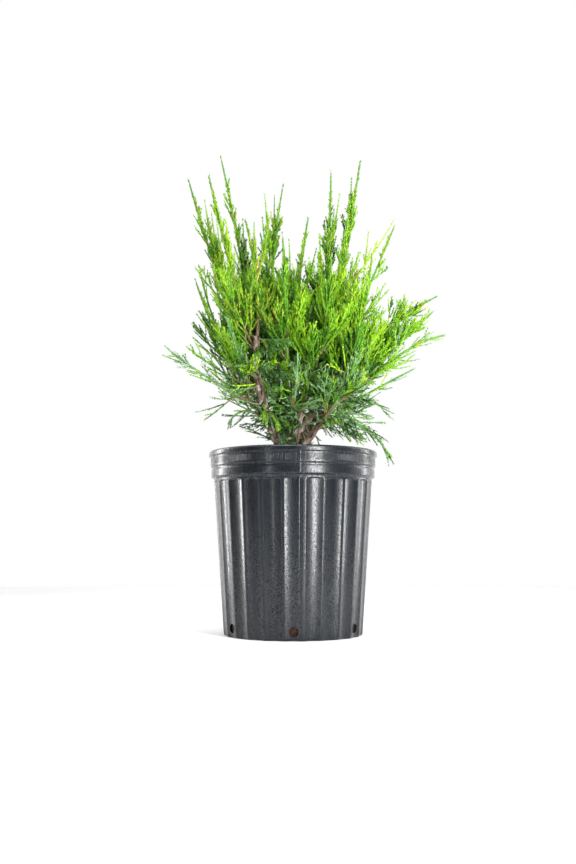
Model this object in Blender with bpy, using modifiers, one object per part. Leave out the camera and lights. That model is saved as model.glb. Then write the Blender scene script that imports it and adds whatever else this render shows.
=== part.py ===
"""A potted juniper shrub: a fluted plastic nursery pot, the potting mix in it, a short trunk that
forks low into tapering boughs, and masses of scale-leaved foliage round and beyond them.

Metres, +Z up. The origin is the middle of the pot's flat underside, and -Y is the front."""

import math

import bmesh
import bpy
import numpy as np
from mathutils import Matrix, Vector

MM = 0.001
GAP = 0.3 * MM
SHARP_ANGLE = math.radians(70)

# The pot, in millimetres
POT_HEIGHT = 180.0
LIP_RADIUS = 84.2
LIP_DEPTH = 6.0
UPPER_BAND_RADIUS = 82.3
UPPER_BAND_FOOT = 163.2
LOWER_BAND_RADIUS = 81.4
LOWER_BAND_FOOT = 152.8
GROOVE_RADIUS = 80.8
GROOVE_HEIGHT = 1.8
BAND_ROUND = 0.7
RIM_INSIDE = 79.2
RIM_DRAFT = 0.6
RIM_ROUND = 1.1
LIP_ROUND = 1.8
LIP_BELLY = 0.4
SHOULDER_HEAD = 154.8
WALL_HEAD = 151.4
WALL_HEAD_RADIUS = 78.6
WALL_FOOT_RADIUS = 68.2
WALL_THICKNESS = 1.4
FLOOR_THICKNESS = 3.0
FOOT_ROUND = 1.0
POT_SIDES = 48

FLUTES = 24
FLUTE_SHARE = 0.74
FLUTE_DEPTH = 2.0
FLUTE_HEAD = 149.8
FLUTE_CUTTER_SIDES = 16
CUTTER_OVERRUN = 3.0

DRAIN_HOLES = 6
DRAIN_RADIUS = 4.5
DRAIN_HEIGHT = 8.6
DRAIN_SIDES = 8

# The potting mix, in millimetres
MIX_HEAD = 159.0
MIX_EDGE = 156.0
MIX_CROWN_RADIUS = 22.0
MIX_EDGE_RISE, MIX_EDGE_WIDTH = 0.8, 4.0
MIX_CLEARANCE = 0.4
MIX_SIDES = 24

# The trunk, in millimetres: a root flare on the mix, then a short bole up to the fork
TRUNK_STATIONS = (
    ((0.0, 0.0, MIX_HEAD + 0.3), 15.0),
    ((0.0, 0.0, 162.4), 12.2),
    ((-0.6, 0.2, 167.0), 9.6),
    ((-1.6, 0.8, 176.0), 8.2),
    ((-3.0, 2.0, 192.0), 7.2),
)
TRUNK_SIDES = 10

# The boughs. Each row is a bough: name, the limb that carries it, the share of that limb's length where it leaves,
# its knee, its tip, and its radius at the foot and at the tip, in millimetres
BOUGHS = (
    ("bough_left", "trunk", 0.22, (-40, -8, 222), (-35, -40, 289), 5.4, 3.4),
    ("bough_centre", "trunk", 1.0, (-6, 3, 218), (-3, -2, 242), 5.0, 3.6),
    ("bough_centre_right", "trunk", 0.62, (5, -6, 214), (18, -10, 250), 4.2, 3.0),
    ("bough_right_outer", "trunk", 0.24, (28, -7, 214), (54, -6, 240), 3.8, 2.4),
    ("bough_right_inner", "trunk", 0.80, (26, 6, 226), (48, 6, 280), 3.6, 2.6),
    ("bough_back_left", "trunk", 0.50, (-22, 32, 212), (-36, 36, 246), 4.2, 3.0),
    ("bough_back_right", "trunk", 0.42, (18, 32, 208), (30, 44, 240), 4.2, 3.0),
)
BOUGH_SIDES = 6
BOUGH_STATIONS = 6

# The foliage. Each row is a mass: name, the limb that carries it, the share of that limb's length where it
# leaves, its knee, its tip, how far its twigs reach, and how much they lift or droop
UPRIGHT, LEVEL, DROOPING = 0.45, 0.28, -0.5
MASSES = (
    ("foliage_left_whip", "bough_left", 0.62, (-74, -6, 340), (-109, 5, 466), 102, UPRIGHT),
    ("foliage_left_middle", "bough_left", 0.84, (-62, -46, 350), (-85, -25, 458), 96, UPRIGHT),
    ("foliage_left_tall", "bough_back_left", 1.0, (-46, 22, 360), (-76, 15, 494), 106, UPRIGHT),
    ("foliage_centre_left_spire", "bough_centre", 0.80, (-34, 0, 330), (-10, 0, 457), 106, UPRIGHT),
    ("foliage_front_left_spire", "bough_left", 0.99, (-30, -62, 335), (-47, -50, 404), 88, UPRIGHT),
    ("foliage_valley", "bough_centre", 1.0, (2, 4, 335), (16, 20, 429), 96, UPRIGHT),
    ("foliage_right_spire_inner", "bough_centre_right", 1.0, (38, -4, 340), (40, 10, 477), 106, UPRIGHT),
    ("foliage_right_spire_outer", "bough_right_inner", 0.74, (48, -26, 350), (69, -15, 477), 102, UPRIGHT),
    ("foliage_right_diagonal", "bough_right_inner", 1.0, (76, 12, 345), (107, 15, 420), 92, UPRIGHT),
    ("foliage_right_shoulder", "bough_right_outer", 0.67, (72, -38, 300), (78, -36, 372), 88, UPRIGHT),
    ("foliage_far_right_upper", "bough_right_outer", 0.86, (88, 16, 312), (147, 8, 341), 76, LEVEL),
    ("foliage_far_right_middle", "bough_right_outer", 1.0, (104, -10, 286), (142, -8, 322), 66, LEVEL),
    ("foliage_far_right_lower", "bough_right_outer", 0.76, (110, -30, 286), (150, -24, 294), 64, LEVEL),
    ("foliage_right_low", "bough_right_outer", 0.59, (88, 30, 250), (127, 30, 270), 64, LEVEL),
    ("foliage_right_droop", "bough_right_outer", 0.45, (66, -22, 224), (93, -24, 176), 64, DROOPING),
    ("foliage_left_low", "bough_left", 0.46, (-80, -14, 246), (-125, -15, 282), 58, LEVEL),
    ("foliage_left_side", "bough_left", 0.56, (-74, -24, 274), (-98, -20, 352), 88, UPRIGHT),
    ("foliage_left_side_back", "bough_back_left", 0.72, (-78, 40, 280), (-100, 38, 382), 92, UPRIGHT),
    ("foliage_left_droop", "bough_left", 0.36, (-52, 2, 234), (-66, 8, 209), 52, DROOPING),
    ("foliage_front_centre", "bough_centre", 0.68, (-6, -58, 290), (-10, -74, 376), 92, UPRIGHT),
    ("foliage_front_right", "bough_centre_right", 0.84, (34, -60, 288), (36, -78, 360), 88, UPRIGHT),
    ("foliage_front_low", "bough_centre", 0.50, (4, -46, 226), (4, -86, 262), 68, LEVEL),
    ("foliage_front_low_left", "bough_left", 0.70, (-54, -64, 252), (-60, -82, 300), 68, LEVEL),
    ("foliage_front_low_right", "bough_right_outer", 0.52, (54, -50, 238), (66, -76, 282), 68, LEVEL),
    ("foliage_centre_low_left", "bough_centre", 0.34, (-24, -20, 244), (-22, -38, 312), 68, UPRIGHT),
    ("foliage_centre_low_right", "bough_centre_right", 0.60, (20, -36, 246), (20, -48, 306), 68, UPRIGHT),
    ("foliage_back_left", "bough_back_left", 0.86, (-42, 72, 320), (-52, 82, 420), 102, UPRIGHT),
    ("foliage_back_right", "bough_back_right", 1.0, (48, 70, 330), (58, 80, 440), 102, UPRIGHT),
    ("foliage_back_centre", "bough_back_right", 0.84, (4, 62, 310), (6, 84, 400), 92, UPRIGHT),
    ("foliage_back_low_left", "bough_back_left", 0.56, (-58, 70, 244), (-76, 84, 300), 72, LEVEL),
    ("foliage_back_low_right", "bough_back_right", 0.70, (70, 66, 246), (92, 82, 304), 72, LEVEL),
    ("foliage_back_low", "bough_back_right", 0.54, (8, 64, 226), (-6, 92, 256), 68, LEVEL),
)
STEM_RADIUS = 1.9
STEM_TIP_RADIUS = 0.55
STEM_SIDES = 4
STEM_STATIONS = 6

# The branching rule, in millimetres and degrees
GOLDEN_ANGLE = 137.5
TWIG_SPACING = 27.5
SPACING_JITTER, REACH_JITTER = 0.6, 0.12
FIRST_TWIG, LAST_TWIG = 0.04, 0.93
TWIGS_END = 0.50
TWIG_OPEN, TWIG_CLOSE = 50.0, 16.0
TWIG_RADIUS, TWIG_TIP_RADIUS = 1.2, 0.8
TWIG_SHARE = 0.36
SIDE_SPRAYS, SIDE_REACH = (0.4, 0.75), 0.6
FOOT_REACH, WHIP_REACH, FAN_REACH = 0.85, 0.12, 0.36
REACH_CURVE = 1.2
SPRAY_WIDTH_SHARE, SPRAY_THICKNESS = 0.58, 2.8
SPRAY_ANGLE = 44.0
SHORTENINGS = (1.0, 0.84, 0.7, 0.56, 0.44)
ROLLS = (0.0, 0.5, 0.25, 0.75)
ROOT_DEPTH = 1.4
RIM_CLEARANCE = 5.0
SPACE_MARGIN = 1.0
LIMB_SAMPLE_STEP, SPRAY_SAMPLE_STEP = 1.5, 2.5
# Half outlines of a spray, (across, along) from its root up one side: a tooth, then a notch
BROAD_SPRAY = ((0.46, 0.46), (0.19, 0.46), (0.38, 0.78), (0.12, 0.72))
SLIM_SPRAY = ((0.46, 0.64), (0.16, 0.60))
SPRAY_STAGGER = 0.10
SPRAY_CROWN = 0.26


# Small helpers

def chance(seed, number):
    """A repeatable value from 0 to 1 for one choice of the branching rule."""
    return math.sin(seed * 12.9898 + number * 78.233) * 43758.5453 % 1.0


def mix(a, b, share):
    return a + (b - a) * share


def metres(point):
    return Vector(point) * MM


def bend(foot, knee, tip, stations):
    """Points along a limb: the quadratic curve from foot to tip that its knee pulls outwards."""
    shares = [number / (stations - 1) for number in range(stations)]
    return [foot * (1 - s) ** 2 + knee * 2 * s * (1 - s) + tip * s * s for s in shares]


def along(points, share):
    """The point and the unit direction at a share of a path's length."""
    lengths = [(b - a).length for a, b in zip(points, points[1:])]
    left = share * sum(lengths)
    for start, end, length in zip(points, points[1:], lengths):
        if left <= length or end is points[-1]:
            return start.lerp(end, min(left / length, 1.0)), (end - start).normalized()
        left -= length


def make_material(name, colour, roughness):
    material = bpy.data.materials.new(name)
    material.use_nodes = True
    surface = material.node_tree.nodes["Principled BSDF"]
    surface.inputs["Base Color"].default_value = (*colour, 1.0)
    surface.inputs["Roughness"].default_value = roughness
    return material


def new_collection(name):
    collection = bpy.data.collections.new(name)
    bpy.context.scene.collection.children.link(collection)
    return collection


def add_object(name, data, collection, material=None):
    made = bpy.data.objects.new(name, data)
    collection.objects.link(made)
    if material is not None:
        data.materials.append(material)
    return made


def add_cutter(name, data, collection):
    made = add_object(name, data, collection)
    made.hide_render = True
    made.display_type = "WIRE"
    return made


def evaluated_mesh(made):
    graph = bpy.context.evaluated_depsgraph_get()
    return bpy.data.meshes.new_from_object(made.evaluated_get(graph))


def settle(made):
    """Replaces an object's mesh with its evaluated one and drops its modifiers."""
    mesh = evaluated_mesh(made)
    made.modifiers.clear()
    made.data = mesh


def keep_main_body(mesh):
    """Leaves the largest closed body of a mesh, so that no loose scrap or sealed hollow stays."""
    bm = bmesh.new()
    bm.from_mesh(mesh)
    bmesh.ops.remove_doubles(bm, verts=bm.verts, dist=1e-7)
    left, bodies = set(bm.faces), []
    while left:
        body, front = set(), [left.pop()]
        while front:
            face = front.pop()
            body.add(face)
            near = {other for edge in face.edges for other in edge.link_faces} & left
            left -= near
            front.extend(near)
        bodies.append(body)
    bodies.sort(key=lambda body: sum(face.calc_area() for face in body))
    bmesh.ops.delete(bm, geom=[f for body in bodies[:-1] for f in body], context="FACES")
    bm.to_mesh(mesh)
    bm.free()


def tube(name, points, radii, sides, collection, material=None):
    """A tapering limb: a bevelled curve with a radius at each point, turned into a closed mesh."""
    curve = bpy.data.curves.new(name, "CURVE")
    curve.dimensions = "3D"
    curve.bevel_depth = 1.0
    curve.bevel_resolution = sides // 2 - 2
    curve.use_fill_caps = True
    spline = curve.splines.new("POLY")
    spline.points.add(len(points) - 1)
    for station, point, radius in zip(spline.points, points, radii):
        station.co = (*point, 1.0)
        station.radius = radius
    guide = add_object(name + "_guide", curve, collection)
    bpy.context.view_layer.update()
    mesh = evaluated_mesh(guide)
    bpy.data.objects.remove(guide)
    bm = bmesh.new()
    bm.from_mesh(mesh)
    bmesh.ops.remove_doubles(bm, verts=bm.verts, dist=1e-6)
    bmesh.ops.recalc_face_normals(bm, faces=bm.faces)
    bm.to_mesh(mesh)
    bm.free()
    mesh.shade_smooth()
    mesh.set_sharp_from_angle(angle=SHARP_ANGLE)
    return add_object(name, mesh, collection, material)


def turned(name, profile, sides, collection, material):
    """A round piece: a half section, listed from the inside round to the outside, spun about Z."""
    mesh = bpy.data.meshes.new(name)
    edges = [(number, number + 1) for number in range(len(profile) - 1)]
    mesh.from_pydata([(radius * MM, 0, height * MM) for radius, height in profile], edges, [])
    made = add_object(name, mesh, collection, material)
    spin = made.modifiers.new("spin", "SCREW")
    spin.steps = spin.render_steps = sides
    spin.use_merge_vertices = True
    spin.merge_threshold = 1e-5
    return made


def cut(made, cutters):
    """Cuts a collection of cutters out of an object."""
    difference = made.modifiers.new("cut", "BOOLEAN")
    difference.operation = "DIFFERENCE"
    difference.operand_type = "COLLECTION"
    difference.collection = cutters
    difference.solver = "EXACT"


# The pot and the potting mix

def wall_radius(height):
    return mix(WALL_FOOT_RADIUS, WALL_HEAD_RADIUS, height / WALL_HEAD)


def inside_radius(height):
    return wall_radius(height) - FLUTE_DEPTH - WALL_THICKNESS


def pot_profile():
    """The pot's half section, from the middle of the floor up the inside and down the outside."""
    lip_foot = POT_HEIGHT - LIP_DEPTH
    return [
        (0, FLOOR_THICKNESS),
        (inside_radius(FLOOR_THICKNESS), FLOOR_THICKNESS),
        (inside_radius(WALL_HEAD), WALL_HEAD),
        (RIM_INSIDE, SHOULDER_HEAD),
        (RIM_INSIDE + RIM_DRAFT, POT_HEIGHT - RIM_ROUND),
        (RIM_INSIDE + RIM_DRAFT + RIM_ROUND, POT_HEIGHT),
        (LIP_RADIUS - LIP_ROUND, POT_HEIGHT - LIP_BELLY),
        (LIP_RADIUS - LIP_BELLY, POT_HEIGHT - LIP_ROUND),
        (LIP_RADIUS, lip_foot + LIP_BELLY),
        (UPPER_BAND_RADIUS, lip_foot),
        (UPPER_BAND_RADIUS, UPPER_BAND_FOOT + BAND_ROUND),
        (GROOVE_RADIUS, UPPER_BAND_FOOT),
        (GROOVE_RADIUS, UPPER_BAND_FOOT - GROOVE_HEIGHT),
        (LOWER_BAND_RADIUS, UPPER_BAND_FOOT - GROOVE_HEIGHT - BAND_ROUND),
        (LOWER_BAND_RADIUS, LOWER_BAND_FOOT + BAND_ROUND),
        (WALL_HEAD_RADIUS + BAND_ROUND, LOWER_BAND_FOOT),
        (WALL_HEAD_RADIUS, WALL_HEAD),
        (WALL_FOOT_RADIUS, FOOT_ROUND),
        (WALL_FOOT_RADIUS - FOOT_ROUND, 0),
        (0, 0),
    ]


def flute_cutter_radius(height):
    """The radius of a round cutter that takes FLUTE_DEPTH out of a flute's width of wall."""
    half_width = wall_radius(height) * math.pi * FLUTE_SHARE / FLUTES
    return (half_width ** 2 + FLUTE_DEPTH ** 2) / (2 * FLUTE_DEPTH)


def flute_cutter_mesh():
    """A long cone beside the wall at +X, leaning as the wall does."""
    foot, head = -CUTTER_OVERRUN, FLUTE_HEAD
    ends = []
    for height in (foot, head):
        reach = wall_radius(height) + flute_cutter_radius(height) - FLUTE_DEPTH
        ends.append(Vector((reach, 0, height)) * MM)
    axis = ends[1] - ends[0]
    place = Matrix.Translation((ends[0] + ends[1]) / 2)
    bm = bmesh.new()
    bmesh.ops.create_cone(
        bm,
        cap_ends=True,
        segments=FLUTE_CUTTER_SIDES,
        radius1=flute_cutter_radius(foot) * MM,
        radius2=flute_cutter_radius(head) * MM,
        depth=axis.length,
        matrix=place @ axis.to_track_quat("Z", "Y").to_matrix().to_4x4(),
    )
    mesh = bpy.data.meshes.new("flute_cutter")
    bm.to_mesh(mesh)
    bm.free()
    return mesh


def drain_cutter_mesh():
    """A short round bar along X that goes through the wall just above the floor."""
    inner = inside_radius(DRAIN_HEIGHT) - CUTTER_OVERRUN
    outer = wall_radius(DRAIN_HEIGHT) + CUTTER_OVERRUN
    middle = Vector(((inner + outer) / 2, 0, DRAIN_HEIGHT)) * MM
    bm = bmesh.new()
    bmesh.ops.create_cone(
        bm,
        cap_ends=True,
        segments=DRAIN_SIDES,
        radius1=DRAIN_RADIUS * MM,
        radius2=DRAIN_RADIUS * MM,
        depth=(outer - inner) * MM,
        matrix=Matrix.Translation(middle) @ Matrix.Rotation(math.pi / 2, 4, "Y"),
    )
    mesh = bpy.data.meshes.new("drain_cutter")
    bm.to_mesh(mesh)
    bm.free()
    return mesh


def make_pot(collection, material):
    """A turned shell with hollow flutes cut down its wall and drain holes at its foot."""
    pot = turned("pot", pot_profile(), POT_SIDES, collection, material)
    cutters = new_collection("pot_cutters")
    flute, drain = flute_cutter_mesh(), drain_cutter_mesh()
    for number in range(FLUTES):
        cutter = add_cutter(f"cut_flute_{number}", flute, cutters)
        cutter.rotation_euler.z = 2 * math.pi * number / FLUTES
    for number in range(DRAIN_HOLES):
        cutter = add_cutter(f"cut_drain_{number}", drain, cutters)
        cutter.rotation_euler.z = 2 * math.pi * (number + 0.5) / DRAIN_HOLES
    cut(pot, cutters)
    return pot


def make_potting_mix(collection, material):
    """The plug of potting mix: it fills the pot to a little under the rim, clear of the wall."""
    clear = MIX_CLEARANCE
    floor = FLOOR_THICKNESS + clear
    profile = [
        (0, MIX_HEAD),
        (MIX_CROWN_RADIUS, MIX_HEAD),
        (RIM_INSIDE - clear - MIX_EDGE_WIDTH, MIX_EDGE + MIX_EDGE_RISE),
        (RIM_INSIDE - clear, MIX_EDGE),
        (RIM_INSIDE - clear, SHOULDER_HEAD + clear),
        (inside_radius(WALL_HEAD) - clear, WALL_HEAD),
        (inside_radius(floor) - clear, floor),
        (0, floor),
    ]
    return turned("potting_mix", profile, MIX_SIDES, collection, material)


# The limbs

class Limb:
    """A tapering limb: its path and its radius at each station, in metres."""

    def __init__(self, name, points, radii, sides):
        self.name, self.points, self.radii, self.sides = name, points, radii, sides

    def samples(self):
        """Close points along the path, each with the limb's radius there."""
        total = sum((b - a).length for a, b in zip(self.points, self.points[1:]))
        count = max(2, math.ceil(total / (LIMB_SAMPLE_STEP * MM)))
        shares = [number / count for number in range(count + 1)]
        centres = np.array([along(self.points, share)[0] for share in shares])
        at = np.linspace(0, 1, len(self.radii))
        return centres, np.interp(shares, at, self.radii)


def trunk_limb():
    points = [metres(point) for point, radius in TRUNK_STATIONS]
    radii = [radius * MM for point, radius in TRUNK_STATIONS]
    return Limb("trunk", points, radii, TRUNK_SIDES)


def bough_limb(limbs, name, carrier, share, knee, tip, foot_radius, tip_radius):
    """A bough that starts on its carrier's axis."""
    start, heading = along(limbs[carrier].points, share)
    points = bend(start, metres(knee), metres(tip), BOUGH_STATIONS)
    radii = [
        mix(foot_radius, tip_radius, number / (BOUGH_STATIONS - 1)) * MM
        for number in range(BOUGH_STATIONS)
    ]
    return Limb(name, points, radii, BOUGH_SIDES)


def clearance_of(limb, collection):
    """A cutter a gap fatter than a limb and a gap longer at its tip."""
    points = list(limb.points)
    points[-1] = points[-1] + (points[-1] - points[-2]).normalized() * GAP * 0.9
    radii = [radius + GAP for radius in limb.radii]
    made = tube(limb.name + "_clearance", points, radii, limb.sides, collection)
    made.hide_render = True
    made.display_type = "WIRE"
    return made


def cut_clear(made, cutter):
    """Cuts a piece a gap clear of a limb."""
    clear = made.modifiers.new("clear", "BOOLEAN")
    clear.operation = "DIFFERENCE"
    clear.object = cutter
    bpy.context.view_layer.update()
    settle(made)


# The foliage

def stem_of_mass(limbs, carrier, share, knee, tip):
    """The path of a mass's stem, from a point on its carrier's axis."""
    start, heading = along(limbs[carrier].points, share)
    return bend(start, metres(knee), metres(tip), STEM_STATIONS)


def side_frame(heading):
    """Two unit directions square to a heading and to each other."""
    side = heading.cross(Vector((0, 0, 1)))
    if side.length < 1e-3:
        side = Vector((1, 0, 0))
    side.normalize()
    return side, heading.cross(side).normalized()


def turned_from(heading, angle, around, lift):
    """A heading leaned from another by an angle, at a bearing around it, then lifted or drooped."""
    side, other = side_frame(heading)
    outward = side * math.cos(around) + other * math.sin(around)
    leaned = heading * math.cos(angle) + outward * math.sin(angle)
    return (leaned + Vector((0, 0, lift * math.sin(angle)))).normalized()


def reach_at(share, reach, lift):
    """How far foliage stands off at a share of its stem: full near the foot, slight on a whip."""
    least = WHIP_REACH if lift == UPRIGHT else FAN_REACH
    return reach * mix(least, 1.0, (1 - share) ** REACH_CURVE) * min(1.0, FOOT_REACH + 2 * share)


def growths_of(stem, reach, lift, seed):
    """The branching rule up a stem: (foot, heading, reach, bears a twig) for each growth in turn."""
    length = sum((b - a).length for a, b in zip(stem, stem[1:])) / MM
    count = max(5, round(length / TWIG_SPACING))
    for number in range(count):
        share = mix(FIRST_TWIG, LAST_TWIG, (number + SPACING_JITTER * chance(seed, number)) / count)
        foot, heading = along(stem, share)
        angle = math.radians(mix(TWIG_OPEN, TWIG_CLOSE, share))
        around = math.radians(number * GOLDEN_ANGLE + 360 * chance(seed, 0.5))
        long = reach_at(share, reach, lift)
        long *= mix(1 - REACH_JITTER, 1 + REACH_JITTER, chance(seed, number + 0.25))
        yield foot, turned_from(heading, angle, around, lift), long * MM, share < TWIGS_END


def sprays_of(foot, heading, reach, lift, seed):
    """The sprays on one twig: a broad one that carries on its end, and a slim one at each side."""
    end = foot + heading * reach * TWIG_SHARE
    yield "broad", end, heading, reach * (1 - TWIG_SHARE)
    bearing = 2 * math.pi * chance(seed, 0.75)
    for side, share in enumerate(SIDE_SPRAYS):
        aside = turned_from(heading, math.radians(SPRAY_ANGLE), bearing + math.pi * side, lift)
        yield "slim", foot.lerp(end, share), aside, reach * SIDE_REACH


def spray_mesh(name, half_outline):
    """A toothed spray, 1 long: a flat bead whose rim is pulled out to the spray's outline."""
    right = [(across, along_it) for across, along_it in half_outline]
    left = [(-across, along_it - SPRAY_STAGGER) for across, along_it in reversed(half_outline)]
    rim = [(0.0, 0.0), *right, (0.0, 1.0), *left]
    bm = bmesh.new()
    bmesh.ops.create_uvsphere(bm, u_segments=len(rim), v_segments=2, radius=0.5)
    equator = [vertex for vertex in bm.verts if abs(vertex.co.z) < 0.1]
    equator.sort(key=lambda vertex: math.atan2(vertex.co.y, vertex.co.x))
    for vertex in bm.verts:
        if vertex not in equator:
            vertex.co = (0.0, math.copysign(0.5, -vertex.co.z), SPRAY_CROWN)
    for vertex, (across, along_it) in zip(equator, rim):
        vertex.co = (across, 0.0, along_it)
    mesh = bpy.data.meshes.new(name)
    bm.to_mesh(mesh)
    bm.free()
    return mesh


def twig_mesh():
    """One twig: a three-sided taper along Z from 0 to 1."""
    bm = bmesh.new()
    bmesh.ops.create_cone(
        bm,
        cap_ends=True,
        segments=3,
        radius1=1.0,
        radius2=TWIG_TIP_RADIUS / TWIG_RADIUS,
        depth=1.0,
        matrix=Matrix.Translation((0, 0, 0.5)),
    )
    mesh = bpy.data.meshes.new("twig")
    bm.to_mesh(mesh)
    bm.free()
    return mesh


def samples_of(mesh, matrix):
    """Points all over a small mesh in its place: its corners and shares of its edges."""
    corners = [matrix @ vertex.co for vertex in mesh.vertices]
    points = list(corners)
    for edge in mesh.edges:
        start, end = (corners[number] for number in edge.vertices)
        steps = math.ceil((end - start).length / (SPRAY_SAMPLE_STEP * MM))
        points += [start.lerp(end, step / steps) for step in range(1, steps)]
    return np.array(points)


class Space:
    """Tells whether a piece of foliage keeps to its own mass, clear of the limbs and the pot."""

    def __init__(self, limbs, stems):
        limb_samples = [limb.samples() for limb in limbs.values()]
        self.limb_centres = np.concatenate([centres for centres, radii in limb_samples])
        self.limb_radii = np.concatenate([radii for centres, radii in limb_samples])
        flat = [0.0] * STEM_STATIONS
        self.stems = {
            name: Limb(name, points, flat, STEM_SIDES).samples()[0] for name, points in stems.items()
        }

    def nearest(self, points, centres, radii=0.0):
        apart = np.linalg.norm(points[:, None, :] - centres[None, :, :], axis=2) - radii
        return apart.min(axis=1)

    def holds(self, name, points):
        """True if all the points are in the space of the mass of this name."""
        out = np.hypot(points[:, 0], points[:, 1]) > (LIP_RADIUS + RIM_CLEARANCE) * MM
        if not (out | (points[:, 2] > (POT_HEIGHT + RIM_CLEARANCE) * MM)).all():
            return False
        if (self.nearest(points, self.limb_centres, self.limb_radii) < SPACE_MARGIN * MM).any():
            return False
        home = self.nearest(points, self.stems[name])
        rivals = np.concatenate([found for rival, found in self.stems.items() if rival != name])
        return bool((self.nearest(points, rivals) - home > 2 * SPACE_MARGIN * MM).all())


def standing(foot, heading, length, width, thickness, roll):
    """The matrix that stands a unit mesh on a foot, along a heading, at its real size."""
    turn = heading.to_track_quat("Z", "Y").to_matrix().to_4x4() @ Matrix.Rotation(roll, 4, "Z")
    return Matrix.Translation(foot) @ turn @ Matrix.Diagonal((width, thickness, length, 1))


def place(name, mesh, matrix, collection):
    made = add_object(name, mesh, collection)
    made.matrix_world = matrix
    return made


def fitting_spray(name, meshes, space, kind, foot, heading, reach, roll):
    """The matrix of a spray at the first of its lengths and turns that keeps to its mass's space."""
    root = foot - heading * ROOT_DEPTH * MM
    for shorter in SHORTENINGS:
        for turn in ROLLS:
            long, wide = reach * shorter, reach * shorter * SPRAY_WIDTH_SHARE
            matrix = standing(root, heading, long, wide, SPRAY_THICKNESS * MM, roll + math.pi * turn)
            if space.holds(name, samples_of(meshes[kind], matrix)):
                return matrix
    return None


def place_growths(row, stem, seed, space, meshes, pieces):
    """Puts each twig and spray of a mass that fits into its collection, and counts the sprays."""
    name, carrier, share, knee, tip, reach, lift = row
    sprays = 0
    for number, (foot, heading, long, has_twig) in enumerate(growths_of(stem, reach, lift, seed)):
        wanted = [("broad", foot, heading, long)]
        if has_twig:
            thick = TWIG_RADIUS * MM
            twig = standing(foot, heading, long * TWIG_SHARE, thick, thick, 0.0)
            if space.holds(name, samples_of(meshes["twig"], twig)[3:]):
                place(f"{name}_twig_{number}", meshes["twig"], twig, pieces)
                wanted = sprays_of(foot, heading, long, lift, seed + number)
        for kind, spray_foot, spray_heading, spray_long in wanted:
            roll = math.pi * chance(seed, sprays + 0.1)
            fitted = fitting_spray(
                name, meshes, space, kind, spray_foot, spray_heading, spray_long, roll
            )
            if fitted is not None:
                place(f"{name}_spray_{sprays}", meshes[kind], fitted, pieces)
                sprays += 1
    return sprays


def make_mass(row, seed, stems, space, limb_cutters, meshes, collection, material):
    """One mass of foliage: its stem with every twig and spray that fits, fused into one body."""
    name, carrier = row[:2]
    radii = [
        mix(STEM_RADIUS, STEM_TIP_RADIUS, number / (STEM_STATIONS - 1)) * MM
        for number in range(STEM_STATIONS)
    ]
    body = tube(name, stems[name], radii, STEM_SIDES, collection, material)
    pieces = new_collection(name + "_pieces")
    sprays = place_growths(row, stems[name], seed, space, meshes, pieces)
    fuse = body.modifiers.new("fuse", "BOOLEAN")
    fuse.operation = "UNION"
    fuse.operand_type = "COLLECTION"
    fuse.collection = pieces
    cut_clear(body, limb_cutters[carrier])
    keep_main_body(body.data)
    for piece in list(pieces.objects):
        bpy.data.objects.remove(piece)
    bpy.data.collections.remove(pieces)
    return sprays


def make_bough(limb, limb_cutters, collection, material):
    """One bough, cut a gap clear of the trunk and of the boughs made before it."""
    made = tube(limb.name, limb.points, limb.radii, limb.sides, collection, material)
    for cutter in limb_cutters.values():
        cut_clear(made, cutter)
    keep_main_body(made.data)


def main():
    for old in list(bpy.data.objects):
        bpy.data.objects.remove(old)
    plant = new_collection("potted_juniper")
    cutters = new_collection("limb_cutters")

    plastic = make_material("pot_plastic", (0.025, 0.028, 0.032), 0.42)
    mix_material = make_material("potting_mix", (0.055, 0.028, 0.02), 0.95)
    bark = make_material("bark", (0.23, 0.13, 0.085), 0.85)
    leaf = make_material("scale_leaf", (0.13, 0.36, 0.04), 0.5)

    limbs = {"trunk": trunk_limb()}
    tube("trunk", limbs["trunk"].points, limbs["trunk"].radii, TRUNK_SIDES, plant, bark)
    limb_cutters = {"trunk": clearance_of(limbs["trunk"], cutters)}
    for name, carrier, share, knee, tip, foot_radius, tip_radius in BOUGHS:
        limbs[name] = bough_limb(limbs, name, carrier, share, knee, tip, foot_radius, tip_radius)
        make_bough(limbs[name], limb_cutters, plant, bark)
        limb_cutters[name] = clearance_of(limbs[name], cutters)

    stems = {
        name: stem_of_mass(limbs, carrier, share, knee, tip)
        for name, carrier, share, knee, tip, reach, lift in MASSES
    }
    space = Space(limbs, stems)
    meshes = {
        "broad": spray_mesh("broad_spray", BROAD_SPRAY),
        "slim": spray_mesh("slim_spray", SLIM_SPRAY),
        "twig": twig_mesh(),
    }
    total = 0
    for seed, row in enumerate(MASSES, start=1):
        total += make_mass(row, seed, stems, space, limb_cutters, meshes, plant, leaf)
    print(f"{len(MASSES)} masses of foliage with {total} sprays")

    make_pot(plant, plastic)
    make_potting_mix(plant, mix_material)


main()
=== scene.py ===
# %% [markdown]
# # A potted juniper
# A young spreading juniper stands in a black nursery pot.  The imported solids
# give every size; this lesson dresses them.  The pot, the mix, the bark and the
# foliage are each worked out from a few named sizes in millimetres, in the same
# frame as the solids, so nothing has to be fitted afterwards.

# %% Frame
import math

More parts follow.
